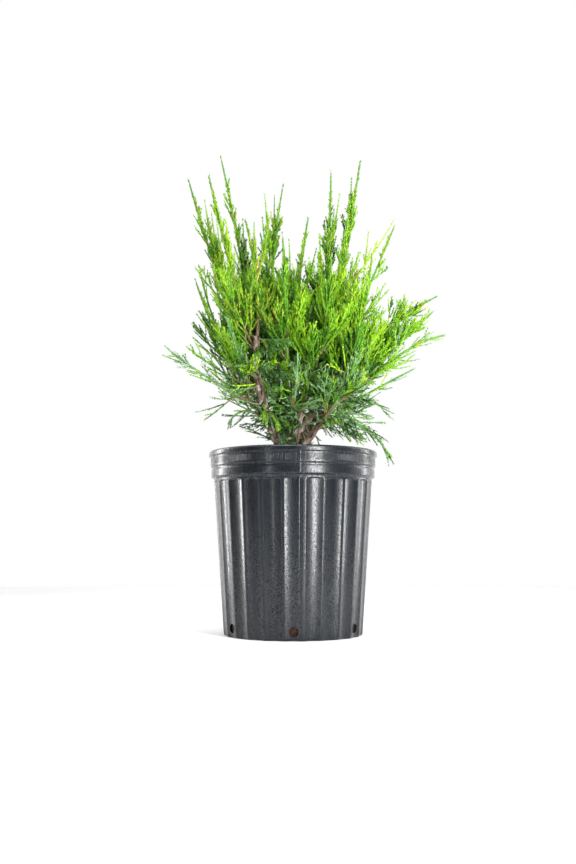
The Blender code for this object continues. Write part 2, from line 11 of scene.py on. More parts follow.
import bmesh
import bpy
import numpy as np
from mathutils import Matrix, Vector


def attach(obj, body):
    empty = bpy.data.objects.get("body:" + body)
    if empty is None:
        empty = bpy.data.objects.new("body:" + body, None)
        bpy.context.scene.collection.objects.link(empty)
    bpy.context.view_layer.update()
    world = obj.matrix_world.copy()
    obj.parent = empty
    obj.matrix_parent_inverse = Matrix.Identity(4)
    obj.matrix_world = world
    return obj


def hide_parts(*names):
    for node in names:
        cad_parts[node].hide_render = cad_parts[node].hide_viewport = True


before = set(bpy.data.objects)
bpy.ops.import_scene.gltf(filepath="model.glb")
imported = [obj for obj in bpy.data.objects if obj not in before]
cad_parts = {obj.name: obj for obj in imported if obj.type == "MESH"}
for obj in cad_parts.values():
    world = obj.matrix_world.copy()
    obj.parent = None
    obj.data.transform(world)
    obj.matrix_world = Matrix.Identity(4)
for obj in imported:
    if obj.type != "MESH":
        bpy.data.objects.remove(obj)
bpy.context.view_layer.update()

# %% [markdown]
# ## Sizes and small helpers
# Lengths are written in millimetres, as on a drawing, and turned into metres
# where a mesh is made.  A surface is a grid of points: one direction runs along
# a profile or a path, the other runs round it, and the last column joins the
# first.  Rows that shrink to a point are welded, so every shell is closed.

# %% Millimetres and mixing
MM = 0.001
UP = np.array((0.0, 0.0, 1.0))
WELD, TINY = 1e-6, 1e-12


def mix(a, b, share):
    """The value at a share of the way from a to b."""
    return a + (b - a) * share


def smooth_step(value):
    """0 below 0, 1 above 1, and 3v squared less 2v cubed between them."""
    held = np.clip(value, 0.0, 1.0)
    return held * held * (3 - 2 * held)


def unit(vectors):
    """Each vector divided by its own length."""
    return vectors / np.maximum(np.linalg.norm(vectors, axis=-1, keepdims=True), TINY)


def swung(first, second, turn):
    """Directions swung from the first towards the second: first cos turn + second sin turn."""
    turn = np.asarray(turn)[..., None]
    return first * np.cos(turn) + second * np.sin(turn)


def round_axis(radius, turn, height):
    """Points round the upright axis: (radius cos turn, radius sin turn, height)."""
    return np.stack([radius * np.cos(turn), radius * np.sin(turn), height], axis=-1).reshape(-1, 3)


def turns(count):
    """Equal steps of a full turn, in radians."""
    return 2 * np.pi * np.arange(count) / count


# %% A mesh from arrays
def put(name, points, faces, materials, kinds=None, smooth=True):
    """A mesh object from an array of points in millimetres and an array of faces with equal corners."""
    mesh = bpy.data.meshes.new(name)
    mesh.vertices.add(len(points))
    mesh.vertices.foreach_set("co", (points * MM).astype(np.float32).ravel())
    mesh.loops.add(faces.size)
    mesh.loops.foreach_set("vertex_index", faces.astype(np.int32).ravel())
    mesh.polygons.add(len(faces))
    mesh.polygons.foreach_set("loop_start", np.arange(0, faces.size, faces.shape[1], dtype=np.int32))
    if kinds is not None:
        mesh.polygons.foreach_set("material_index", kinds.astype(np.int32))
    mesh.update(calc_edges=True)
    if smooth:
        mesh.shade_smooth()
    for material in materials:
        mesh.materials.append(material)
    made = bpy.data.objects.new(name, mesh)
    bpy.context.scene.collection.objects.link(made)
    return made


def round_faces(rows, columns):
    """The quads of a grid whose last column joins the first: each joins two columns of two rows."""
    row, column = np.meshgrid(np.arange(rows - 1), np.arange(columns), indexing="ij")
    following = (column + 1) % columns
    corners = (
        row * columns + column,
        row * columns + following,
        (row + 1) * columns + following,
        (row + 1) * columns + column,
    )
    return np.stack(corners, axis=-1).reshape(-1, 4)


def weld(made):
    """Merges points that meet, as at a pole, and keeps the mesh's attributes."""
    welded = bmesh.new()
    welded.from_mesh(made.data)
    bmesh.ops.remove_doubles(welded, verts=welded.verts, dist=WELD)
    welded.to_mesh(made.data)
    welded.free()


def report(made):
    """Prints a piece's triangles and size."""
    made.data.calc_loop_triangles()
    corners = np.empty(len(made.data.vertices) * 3, dtype=np.float32)
    made.data.vertices.foreach_get("co", corners)
    corners = corners.reshape(-1, 3) / MM
    size = np.round(corners.max(axis=0) - corners.min(axis=0), 1)
    print(f"{made.name}: {len(made.data.loop_triangles)} triangles, {size} mm")


# %% [markdown]
# ## The camera
# The plant was seen from a little below the rim, about a metre away, with the
# view tilted up a few degrees.  The camera, the floor and the lamps could come
# last, but making them first lets every later step be judged in the right view.

# %% Camera
CAMERA_AT = (-5.0, -960.0, 92.5)
CAMERA_TILT, CAMERA_LENS, CAMERA_SENSOR = 6.4, 40.0, 36.0

camera_data = bpy.data.cameras.new("camera")
camera_data.lens, camera_data.sensor_width = CAMERA_LENS, CAMERA_SENSOR
camera = bpy.data.objects.new("camera", camera_data)
camera.location = [value * MM for value in CAMERA_AT]
camera.rotation_euler = (math.radians(90 + CAMERA_TILT), 0, 0)
bpy.context.scene.collection.objects.link(camera)
bpy.context.scene.camera = camera
print("camera at, mm:", CAMERA_AT, "tilt:", CAMERA_TILT)

# %% [markdown]
# ## Helpers for finishes
# A finish is a Principled shader whose inputs are fed by patterns: a colour that
# goes between two others, a value that goes between two limits, or relief.  It
# could be wired node by node each time.  A helper for each of these steps keeps
# the finishes further down short enough to be read as recipes.

# %% Finishes: helpers
COLOUR_A, COLOUR_B, COLOUR_OUT = 6, 7, 2  # a Mix node's sockets for colours


def new_material(name, colour, roughness, specular):
    """A material, its node tree and its shader."""
    material = bpy.data.materials.new(name)
    material.use_nodes = True
    tree = material.node_tree
    shader = tree.nodes["Principled BSDF"]
    plain = {"Base Color": (*colour, 1), "Roughness": roughness, "Specular IOR Level": specular}
    for socket, value in plain.items():
        shader.inputs[socket].default_value = value
    return material, tree, shader


def feed(tree, node, name, value):
    """Gives a node's input, by its name or number, a value or a link from a socket."""
    if isinstance(value, bpy.types.NodeSocket):
        tree.links.new(value, node.inputs[name])
    else:
        node.inputs[name].default_value = value


def add_node(tree, kind, **inputs):
    """A node with its inputs fed by name, underscores standing for spaces."""
    made = tree.nodes.new(kind)
    for name, value in inputs.items():
        feed(tree, made, name.replace("_", " "), value)
    return made


def object_place(tree):
    """Coordinates on the object, in metres."""
    return tree.nodes.new("ShaderNodeTexCoord").outputs["Object"]


def place_map(tree, source, scale):
    """Coordinates stretched by a scale along each axis."""
    return add_node(tree, "ShaderNodeMapping", Vector=source, Scale=scale).outputs["Vector"]


def math_node(tree, operation, *values):
    """One sum of sockets or numbers."""
    made = tree.nodes.new("ShaderNodeMath")
    made.operation = operation
    for slot, value in enumerate(values):
        feed(tree, made, slot, value)
    return made.outputs[0]


def colour_between(tree, share, first, second):
    """A colour that goes from the first to the second as the share rises."""
    ramp = add_node(tree, "ShaderNodeMix", Factor=share)
    ramp.data_type = "RGBA"
    for slot, colour in ((COLOUR_A, first), (COLOUR_B, second)):
        feed(tree, ramp, slot, (*colour, 1) if isinstance(colour, tuple) else colour)
    return ramp.outputs[COLOUR_OUT]


def value_between(tree, share, low, high, first=0.0, last=1.0):
    """A value that goes from low to high as the share goes from first to last."""
    limits = {"From_Min": first, "From_Max": last, "To_Min": low, "To_Max": high}
    return add_node(tree, "ShaderNodeMapRange", Value=share, **limits).outputs["Result"]


def bump_from(tree, shader, height, distance):
    """Gives a shader relief: distance is the height in millimetres of a full step."""
    bump = add_node(tree, "ShaderNodeBump", Distance=distance * MM, Height=height)
    feed(tree, shader, "Normal", bump.outputs["Normal"])


# %% [markdown]
# Grain is on nearly every surface here: the pebbled skin of the moulded pot, the
# crumbs of the mix, the flakes of bark.  One node group makes it, a fine noise
# laid over a coarse one, and each material asks for its own grain sizes.

# %% Node group: grain
FINE_DETAIL, COARSE_DETAIL = (2.0, 0.6), (3.0, 0.55)  # detail and roughness of each noise
PATCH_LOW, PATCH_HIGH = 0.36, 0.64


def make_grain_group():
    """A group: Height is the mean of a fine and a coarse noise, Patches the coarse one, made starker."""
    group = bpy.data.node_groups.new("grain", "ShaderNodeTree")
    for name, kind in (("Vector", "Vector"), ("Fine", "Float"), ("Coarse", "Float")):
        group.interface.new_socket(name, in_out="INPUT", socket_type=f"NodeSocket{kind}")
    for name in ("Height", "Patches"):
        group.interface.new_socket(name, in_out="OUTPUT", socket_type="NodeSocketFloat")
    taken = group.nodes.new("NodeGroupInput")
    given = group.nodes.new("NodeGroupOutput")
    noises, place = [], taken.outputs["Vector"]
    for scale, (detail, roughness) in (("Fine", FINE_DETAIL), ("Coarse", COARSE_DETAIL)):
        noise = add_node(group, "ShaderNodeTexNoise", Vector=place, Detail=detail, Roughness=roughness)
        feed(group, noise, "Scale", taken.outputs[scale])
        noises.append(noise.outputs["Fac"])
    feed(group, given, "Height", math_node(group, "MULTIPLY", math_node(group, "ADD", *noises), 0.5))
    feed(group, given, "Patches", value_between(group, noises[1], 0.0, 1.0, PATCH_LOW, PATCH_HIGH))
    return group


GRAIN = make_grain_group()
print("group:", GRAIN.name, "nodes:", len(GRAIN.nodes))


def add_grain(tree, source, fine, coarse):
    """The grain group in a material: fine and coarse are the grains' sizes in millimetres."""
    grain = tree.nodes.new("ShaderNodeGroup")
    grain.node_tree = GRAIN
    for name, value in (("Vector", source), ("Fine", 1 / (fine * MM)), ("Coarse", 1 / (coarse * MM))):
        feed(tree, grain, name, value)
    return grain


def grained(name, plain, roughness, specular, grains, shades, relief, stretch=None):
    """A material whose colour goes from the darker to the lighter shade over the grain's patches."""
    material, tree, shader = new_material(name, plain, roughness, specular)
    place = place_map(tree, object_place(tree), stretch) if stretch else object_place(tree)
    grain = add_grain(tree, place, *grains)
    feed(tree, shader, "Base Color", colour_between(tree, grain.outputs["Patches"], *shades))
    bump_from(tree, shader, grain.outputs["Height"], relief)
    return material


# %% [markdown]
# ## Floor and light
# The pot stands on a pale floor that fades into a white surround.  Two tall soft
# boxes behind the pot's sides give the long highlights on its shoulders, two
# narrow ones in front catch the flutes, and two broad ones above light the
# crown.  One bright sky could light it all, but lamps with a place and a size
# can be moved until each highlight falls where it should.

# %% Floor
FLOOR_HALF, FLOOR_DROP, FLOOR_LINES = 950.0, 0.05, 5
# the far colour is painted light: paler where the lamps bring less light
FLOOR_NEAR, FLOOR_FAR_PAINTED_LIGHT, FLOOR_PLAIN = (0.72, 0.72, 0.72), (0.97, 0.97, 0.97), (0.76, 0.76, 0.76)
FLOOR_GRAINS, FLOOR_ROUGHNESS, FLOOR_GLOSS = (4.0, 60.0), (0.65, 0.75), (0.7, 0.2)
PALE_FROM, PALE_TO = 0.35, 0.95  # metres from the pot
floor_paint, tree, shader = new_material("floor_paint", FLOOR_PLAIN, *FLOOR_GLOSS)
floor_place = object_place(tree)
grain = add_grain(tree, floor_place, *FLOOR_GRAINS)
away = tree.nodes.new("ShaderNodeVectorMath")
away.operation = "LENGTH"
tree.links.new(floor_place, away.inputs[0])
# painted light: the floor goes from darker near the pot to paler far off, standing in for the light the lamps
# do not bring there, so it meets the white surround without a line
painted_light_fade = value_between(tree, away.outputs["Value"], 0.0, 1.0, PALE_FROM, PALE_TO)
feed(tree, shader, "Base Color", colour_between(tree, painted_light_fade, FLOOR_NEAR, FLOOR_FAR_PAINTED_LIGHT))
feed(tree, shader, "Roughness", value_between(tree, grain.outputs["Patches"], *FLOOR_ROUGHNESS))
floor_lines = np.linspace(-FLOOR_HALF, FLOOR_HALF, FLOOR_LINES)
floor_x, floor_y = np.meshgrid(floor_lines, floor_lines)
floor_points = np.stack([floor_x, floor_y, np.full_like(floor_x, -FLOOR_DROP)], axis=-1).reshape(-1, 3)
corner = (np.arange(FLOOR_LINES - 1)[:, None] * FLOOR_LINES + np.arange(FLOOR_LINES - 1)).ravel()
floor_faces = np.stack([corner, corner + 1, corner + FLOOR_LINES + 1, corner + FLOOR_LINES], axis=-1)
floor = put("floor", floor_points, floor_faces, [floor_paint])
report(floor)

# %% Light
SOFT_BOXES = (  # name, place, point it faces, width, height, watts
    ("left_box", (-640, 290, 240), (0, 0, 170), 120, 800, 4.6),
    ("right_box", (650, 290, 240), (0, 0, 170), 84, 800, 2.5),
    ("front_box", (216, -408, 165), (0, 0, 130), 116, 320, 3.0),
    ("left_front_box", (-235, -400, 165), (0, 0, 130), 24, 320, 0.24),
    ("key_box", (420, -640, 700), (0, 0, 300), 260, 260, 5.0),
    ("top_box", (-100, -160, 1050), (0, 0, 300), 600, 600, 6.5),
)
ROOM_SIDE, CLOTH_SIDE, BACKDROP = 0.12, 1.32, 1.0  # brightness in front, behind, and as the camera sees it
ROOM_Y, CLOTH_Y = -0.45, 0.35  # the first two are reached where the view's y is this


def aim(made, place, target):
    """Puts a lamp at a place and turns its -Z axis to a target."""
    made.location = Vector(place) * MM
    made.rotation_euler = (Vector(target) - Vector(place)).to_track_quat("-Z", "Y").to_euler()


for name, place, target, width, height, watts in SOFT_BOXES:
    lamp_data = bpy.data.lights.new(name, "AREA")
    lamp_data.shape = "RECTANGLE"
    lamp_data.size, lamp_data.size_y = width * MM, height * MM
    lamp_data.energy = watts
    lamp = bpy.data.objects.new(name, lamp_data)
    bpy.context.scene.collection.objects.link(lamp)
    aim(lamp, place, target)

world = bpy.data.worlds.new("white_surround")
world.use_nodes = True
tree = world.node_tree
sky = tree.nodes["Background"]
sky.inputs["Color"].default_value = (1, 1, 1, 1)
seen_from = tree.nodes.new("ShaderNodeTexCoord").outputs["Generated"]
direction = add_node(tree, "ShaderNodeSeparateXYZ", Vector=seen_from)
around = value_between(tree, direction.outputs["Y"], ROOM_SIDE, CLOTH_SIDE, ROOM_Y, CLOTH_Y)
by_camera = tree.nodes.new("ShaderNodeLightPath").outputs["Is Camera Ray"]
seen = add_node(tree, "ShaderNodeMix", Factor=by_camera, A=around, B=BACKDROP)
feed(tree, sky, "Strength", seen.outputs[0])
bpy.context.scene.world = world
bpy.context.scene.view_settings.view_transform = "Standard"
print("lamps:", len(SOFT_BOXES), "watts in all:", round(sum(row[-1] for row in SOFT_BOXES), 2))

# %% [markdown]
# ## The pot
# The pot is blow-moulded plastic: one thin skin, with a rolled lip, two smooth
# bands with a groove between them, and 24 hollow flutes that stiffen the wall.
# It could be a spun profile with the flutes cut by Booleans.  A grid is better:
# the radius is a function of the bearing and the height, so each flute can have
# its true hollow, a shallow arch at its head and a crisp rib beside it.

# %% Pot: profile
POT_HEIGHT = 180.0
LIP_RADIUS, LIP_DEPTH, LIP_ROUND, LIP_BELLY = 84.2, 6.0, 1.8, 0.4
UPPER_BAND_RADIUS, UPPER_BAND_FOOT = 82.3, 163.2
LOWER_BAND_RADIUS, LOWER_BAND_FOOT = 81.4, 152.8
GROOVE_RADIUS, GROOVE_HEIGHT, BAND_ROUND = 80.8, 1.8, 0.7
RIM_INSIDE, RIM_DRAFT, RIM_ROUND = 79.2, 0.6, 1.1
WALL_HEAD, WALL_HEAD_RADIUS, WALL_FOOT_RADIUS = 151.4, 78.6, 68.2
WALL_THICKNESS, FLOOR_THICKNESS, FOOT_ROUND, SHOULDER_HEAD = 1.4, 3.0, 1.0, 154.8
FLUTES, FLUTE_SHARE, FLUTE_DEPTH, FLUTE_HEAD = 24, 0.86, 1.9, 150.2
FLUTE_ARCH, FLUTE_RUN_OUT, ARCH_FOOT = 1.7, 1.0, 142.2
WALL_STEP = 5.0


def wall_radius(height):
    """The wall's radius between the flutes: a straight taper from its foot to its head."""
    return mix(WALL_FOOT_RADIUS, WALL_HEAD_RADIUS, height / WALL_HEAD)


def inside_radius(height):
    """The wall's inner radius: the taper less the flutes' depth and the wall's thickness."""
    return wall_radius(height) - FLUTE_DEPTH - WALL_THICKNESS


POT_RUNS = (  # radius, height, longest step to the next point: underside, outside, lip, inside, floor
    (0, 0, 30),
    (WALL_FOOT_RADIUS - 6, 0, 2),
    (WALL_FOOT_RADIUS - FOOT_ROUND, 0, 0.5),
    (WALL_FOOT_RADIUS, FOOT_ROUND, WALL_STEP),
    (wall_radius(ARCH_FOOT), ARCH_FOOT, 0.5),
    (WALL_HEAD_RADIUS, WALL_HEAD, 0.4),
    (WALL_HEAD_RADIUS + BAND_ROUND, LOWER_BAND_FOOT, 0.4),
    (LOWER_BAND_RADIUS, LOWER_BAND_FOOT + BAND_ROUND, 1.0),
    (LOWER_BAND_RADIUS, UPPER_BAND_FOOT - GROOVE_HEIGHT - BAND_ROUND, 0.35),
    (GROOVE_RADIUS, UPPER_BAND_FOOT - GROOVE_HEIGHT, 0.35),
    (GROOVE_RADIUS, UPPER_BAND_FOOT, 0.35),
    (UPPER_BAND_RADIUS, UPPER_BAND_FOOT + BAND_ROUND, 0.9),
    (UPPER_BAND_RADIUS, POT_HEIGHT - LIP_DEPTH, 0.35),
    (LIP_RADIUS, POT_HEIGHT - LIP_DEPTH + LIP_BELLY, 0.5),
    (LIP_RADIUS - LIP_BELLY, POT_HEIGHT - LIP_ROUND, 0.4),
    (LIP_RADIUS - LIP_ROUND, POT_HEIGHT - LIP_BELLY, 0.5),
    (RIM_INSIDE + RIM_DRAFT + RIM_ROUND, POT_HEIGHT, 0.5),
    (RIM_INSIDE + RIM_DRAFT, POT_HEIGHT - RIM_ROUND, 3.0),
    (RIM_INSIDE, SHOULDER_HEAD, 1.0),
    (inside_radius(WALL_HEAD), WALL_HEAD, 20),
    (inside_radius(FLOOR_THICKNESS), FLOOR_THICKNESS, 20),
    (0, FLOOR_THICKNESS, 1),
)


def profile_rows(runs, softening):
    """Radius and height rows: each run is cut into equal steps, then corners are softened by
    moving each row to the mean of itself, twice over, and its two neighbours."""
    rows = []
    for (radius, height, step), (next_radius, next_height, _) in zip(runs, runs[1:]):
        count = max(1, math.ceil(math.hypot(next_radius - radius, next_height - height) / step))
        share = np.arange(count) / count
        rows.append(np.stack([mix(radius, next_radius, share), mix(height, next_height, share)], axis=-1))
    rows = np.concatenate(rows + [np.array([runs[-1][:2]], dtype=float)])
    for _ in range(softening):
        rows[1:-1] = rows[1:-1] * 0.5 + (rows[:-2] + rows[2:]) * 0.25
    return rows


pot_rows = profile_rows(POT_RUNS, 2)
lip_row = int(np.argmax(pot_rows[:, 1]))
print("pot rows:", len(pot_rows), "of which outside:", lip_row)

# %% Pot: columns
# Columns crowd at the edges of each flute and at the mould's seam, where the skin turns sharply.
FLUTE_COLUMNS = (-7.5, -6.95, -6.55, -6.2, -5.3, -3.7, -1.85, 0.0, 1.85, 3.7, 5.3, 6.2, 6.55, 6.95)
SEAM_BEARING = -86.0
SEAM_COLUMNS = (-0.5, -0.25, 0.0, 0.25, 0.5)
SEAM_HEIGHT, SEAM_WIDTH = 0.28, 0.22

flute_centres = np.arange(FLUTES) * 360 / FLUTES
pot_bearings = (flute_centres[:, None] + np.array(FLUTE_COLUMNS)).ravel()
seam_bearings = (SEAM_BEARING + np.array(((0,), (180,))) + SEAM_COLUMNS).ravel()
pot_bearings = np.unique(np.round(np.concatenate([pot_bearings, seam_bearings]) % 360, 3))
print("pot columns:", len(pot_bearings))


def flute_hollow(bearing, height):
    """The depth of the flutes: a circular hollow across each flute's width, run out under an arch.
    The arch lowers the flute's head towards its edges by a quarter circle."""
    half_pitch = 180 / FLUTES
    across = (bearing + half_pitch) % (2 * half_pitch) - half_pitch
    half_width = np.radians(half_pitch * FLUTE_SHARE) * wall_radius(height)
    offset = np.radians(across) * wall_radius(height)
    arc = (half_width ** 2 + FLUTE_DEPTH ** 2) / (2 * FLUTE_DEPTH)
    hollow = np.sqrt(np.maximum(arc ** 2 - offset ** 2, 0)) - (arc - FLUTE_DEPTH)
    share = np.clip(np.abs(offset) / half_width, 0, 1)
    head = FLUTE_HEAD - FLUTE_ARCH * (1 - np.sqrt(1 - share ** 2))
    return np.maximum(hollow, 0) * smooth_step((head - height) / FLUTE_RUN_OUT)


def seam_ridge(bearing):
    """The mould's seam: a thin rounded ridge down the front and the back."""
    away = np.abs((bearing - SEAM_BEARING + 90) % 180 - 90)
    return SEAM_HEIGHT * np.exp(-(away / SEAM_WIDTH) ** 2)


# %% Pot: surface
UNDERSIDE_RADIUS, SEAM_FOOT = WALL_FOOT_RADIUS - 4, 0.5


def pot_surface(rows, bearings, outside):
    """Points: the profile's radius less the flutes' hollow plus the seam, carried round every bearing."""
    bearing, row = np.meshgrid(bearings, np.arange(len(rows)))
    radius, height = rows[row, 0], rows[row, 1]
    skin = (row <= outside) & (radius > UNDERSIDE_RADIUS)
    fluted = skin & (height < FLUTE_HEAD)
    seamed = skin & (height > SEAM_FOOT) & (height < POT_HEIGHT - LIP_DEPTH)
    radius = radius - np.where(fluted, flute_hollow(bearing, height), 0)
    radius = radius + np.where(seamed, seam_ridge(bearing), 0)
    return round_axis(radius, np.radians(bearing), height)


DRAIN_HOLES, DRAIN_RADIUS, DRAIN_HEIGHT, DRAIN_SIDES, DRAIN_OVER = 6, 4.5, 8.6, 24, 3.0


def drain_cutter():
    """Six short bars that go through the wall above the floor: circles carried along the radius."""
    near, far = inside_radius(DRAIN_HEIGHT) - DRAIN_OVER, wall_radius(DRAIN_HEIGHT) + DRAIN_OVER
    bars, faces = [], []
    for number in range(DRAIN_HOLES):
        bearing = 2 * math.pi * (number + 0.5) / DRAIN_HOLES
        out = np.array((math.cos(bearing), math.sin(bearing), 0))
        side = np.array((-math.sin(bearing), math.cos(bearing), 0))
        ring = swung(side, UP, turns(DRAIN_SIDES))
        courses = ((near, 0), (near, DRAIN_RADIUS), (far, DRAIN_RADIUS), (far, 0))
        bars += [out * at + ring * radius + UP * DRAIN_HEIGHT for at, radius in courses]
        faces.append(round_faces(len(courses), DRAIN_SIDES) + number * len(courses) * DRAIN_SIDES)
    return put("drain_cutter", np.concatenate(bars), np.concatenate(faces), [])


def cut_away(made, cutter):
    """Takes the cutter out of a piece for good, and removes the cutter."""
    weld(cutter)
    hole = made.modifiers.new("holes", "BOOLEAN")
    hole.operation, hole.solver, hole.object = "DIFFERENCE", "EXACT", cutter
    bpy.context.view_layer.update()
    finished = bpy.data.meshes.new_from_object(made.evaluated_get(bpy.context.evaluated_depsgraph_get()))
    made.modifiers.clear()
    made.data = finished
    bpy.data.objects.remove(cutter)


# %% [markdown]
# The plastic is nearly black with a cold tint.  Its skin is pebbled by the
# mould, so highlights break into small sparks; along the wall it also has faint
# streaks from drawing, and a dry film of dust greys it a little in patches.
# The grey is lightest on the pebbles' tops, where it is partly dust and partly
# a painted glint that makes the grain sparkle whatever the light.

# %% Pot: plastic
# the second colour is partly dust and partly a painted glint on the pebbles' tops
PLASTIC, PLASTIC_DUST_AND_GLINT, PLASTIC_DRAWN = (0.003, 0.0045, 0.007), (0.011, 0.014, 0.017), (0.006, 0.008, 0.011)
PLASTIC_GLOSS, COAT_ROUGHNESS, COAT_WEIGHTS = (0.4, 0.20), 0.21, (0.0, 1.0)  # gloss: roughness, specular
PEBBLE_GRAINS, DUST_GRAINS = (0.9, 1.25), (12.0, 38.0)
STREAK_GRAINS, STREAK_LONG, STREAK_ROUGHNESS, STREAK_SPAN = (2.4, 9.0), (1, 1, 0.03), (0.22, 0.32), (0.3, 0.7)
pot_plastic, tree, shader = new_material("pot_plastic_skin", PLASTIC, *PLASTIC_GLOSS)
shader.inputs["Coat Roughness"].default_value = COAT_ROUGHNESS
place = object_place(tree)
pebble = add_grain(tree, place, *PEBBLE_GRAINS)
streak = add_grain(tree, place_map(tree, place, STREAK_LONG), *STREAK_GRAINS)
cloud = add_grain(tree, place, *DUST_GRAINS)
# dust in patches, lightest on the pebbles' tops, where it is also a painted glint
dust_and_glint_mask = math_node(tree, "MULTIPLY", cloud.outputs["Patches"], pebble.outputs["Patches"])
dust_and_glint_colour = colour_between(tree, dust_and_glint_mask, PLASTIC, PLASTIC_DUST_AND_GLINT)
drawn = value_between(tree, streak.outputs["Height"], *STREAK_ROUGHNESS, *STREAK_SPAN)
feed(tree, shader, "Base Color", colour_between(tree, streak.outputs["Patches"], dust_and_glint_colour, PLASTIC_DRAWN))
feed(tree, shader, "Roughness", drawn)
feed(tree, shader, "Coat Weight", value_between(tree, pebble.outputs["Patches"], *COAT_WEIGHTS))

# %% [markdown]
# The upper band carries a ring of fine upright ticks from the mould.  They could
# be cut into the mesh, but four hundred of them would cost more faces than the
# rest of the pot.  A sine of the bearing, made uneven by the streaks and faded
# out above and below, gives the same sparkle as relief in the shader.

# %% Pot: ticks on the upper band
TICKS, TICK_FOOT, TICK_HEAD, TICK_FADE = 400, 165.4, 172.6, 1.2
TICK_HEIGHT, TICK_WANDER, SKIN_RELIEF = 0.42, 14.0, 0.30
axes_of = add_node(tree, "ShaderNodeSeparateXYZ", Vector=place)
bearing = math_node(tree, "ARCTAN2", axes_of.outputs["Y"], axes_of.outputs["X"])
wandering = math_node(tree, "MULTIPLY", streak.outputs["Height"], TICK_WANDER)
phase = math_node(tree, "ADD", math_node(tree, "MULTIPLY", bearing, float(TICKS)), wandering)
rib = math_node(tree, "MULTIPLY", math_node(tree, "SINE", phase), TICK_HEIGHT)
above = value_between(tree, axes_of.outputs["Z"], 0.0, 1.0, TICK_FOOT * MM, (TICK_FOOT + TICK_FADE) * MM)
below = value_between(tree, axes_of.outputs["Z"], 1.0, 0.0, (TICK_HEAD - TICK_FADE) * MM, TICK_HEAD * MM)
ticks = math_node(tree, "MULTIPLY", rib, math_node(tree, "MULTIPLY", above, below))
bump_from(tree, shader, math_node(tree, "ADD", pebble.outputs["Height"], ticks), SKIN_RELIEF)
print("ticks:", TICKS, "one every, mm:", round(2 * math.pi * UPPER_BAND_RADIUS / TICKS, 2))

# %% Pot: made
POT_CREASE = 38.0
pot_points = pot_surface(pot_rows, pot_bearings, lip_row)
pot = put("pot_shell", pot_points, round_faces(len(pot_rows), len(pot_bearings)), [pot_plastic])
weld(pot)
cut_away(pot, drain_cutter())
pot.data.shade_smooth()
pot.data.set_sharp_from_angle(angle=math.radians(POT_CREASE))
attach(pot, "root")
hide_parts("pot")
report(pot)

# %% [markdown]
# ## The mix
# The pot is filled with composted bark and a little white perlite, to a finger's
# width under the rim.  A close-grained bed gives the general relief, and loose
# chips and beads lie on it.  Each chip is an icosahedron pulled about at random,
# so a few faces are enough.

# %% Mix: bed
MIX_CROWN, MIX_CROWN_RADIUS = 159.0, 22.0
MIX_EDGE, MIX_SLOPE_FOOT, MIX_SLOPE_RADIUS = 156.0, 156.8, RIM_INSIDE - 5
MIX_CLEARANCE, MIX_RELIEF, MIX_COLUMNS = 0.4, 0.7, 200
CRUMB_MARGIN, CRUMB_FADE, CRUMB_MIDDLE = 1.0, 4.0, 6.0
mix_random = np.random.default_rng(5)

MIX_RUNS = (  # radius, height, longest step: underside, inside of the wall, edge, slope, crown
    (0, FLOOR_THICKNESS + MIX_CLEARANCE, 40),
    (inside_radius(FLOOR_THICKNESS) - MIX_CLEARANCE, FLOOR_THICKNESS + MIX_CLEARANCE, 30),
    (inside_radius(WALL_HEAD) - MIX_CLEARANCE, WALL_HEAD, 2),
    (RIM_INSIDE - MIX_CLEARANCE, SHOULDER_HEAD + MIX_CLEARANCE, 1),
    (RIM_INSIDE - MIX_CLEARANCE, MIX_EDGE, 1.1),
    (MIX_SLOPE_RADIUS, MIX_SLOPE_FOOT, 1.1),
    (MIX_CROWN_RADIUS, MIX_CROWN, 1.4),
    (0, MIX_CROWN, 1),
)


def bed_surface():
    """The bed's profile carried round, its upper face lifted by random crumbs away from the wall."""
    rows = profile_rows(MIX_RUNS, 0)
    top = rows[:, 1] >= MIX_EDGE
    turn, row = np.meshgrid(turns(MIX_COLUMNS), np.arange(len(rows)))
    radius, height = rows[row, 0], rows[row, 1]
    crumbs = mix_random.normal(0, MIX_RELIEF, radius.shape)
    from_wall = smooth_step((RIM_INSIDE - CRUMB_MARGIN - radius) / CRUMB_FADE)
    from_middle = smooth_step(radius / CRUMB_MIDDLE)
    height = height + np.where(top[row], crumbs * (from_wall * from_middle), 0)
    return round_axis(radius, turn, height), round_faces(len(rows), MIX_COLUMNS)


# %% Mix: chips and beads
GOLDEN = (1 + 5 ** 0.5) / 2
ICO_POINTS = unit(np.array([
    (-1, GOLDEN, 0), (1, GOLDEN, 0), (-1, -GOLDEN, 0), (1, -GOLDEN, 0),
    (0, -1, GOLDEN), (0, 1, GOLDEN), (0, -1, -GOLDEN), (0, 1, -GOLDEN),
    (GOLDEN, 0, -1), (GOLDEN, 0, 1), (-GOLDEN, 0, -1), (-GOLDEN, 0, 1),
], dtype=float))
ICO_FACES = np.array([
    (0, 11, 5), (0, 5, 1), (0, 1, 7), (0, 7, 10), (0, 10, 11),
    (1, 5, 9), (5, 11, 4), (11, 10, 2), (10, 7, 6), (7, 1, 8),
    (3, 9, 4), (3, 4, 2), (3, 2, 6), (3, 6, 8), (3, 8, 9),
    (4, 9, 5), (2, 4, 11), (6, 2, 10), (8, 6, 7), (9, 8, 1),
])
DENTS, PILE = (0.72, 1.18), 1.4


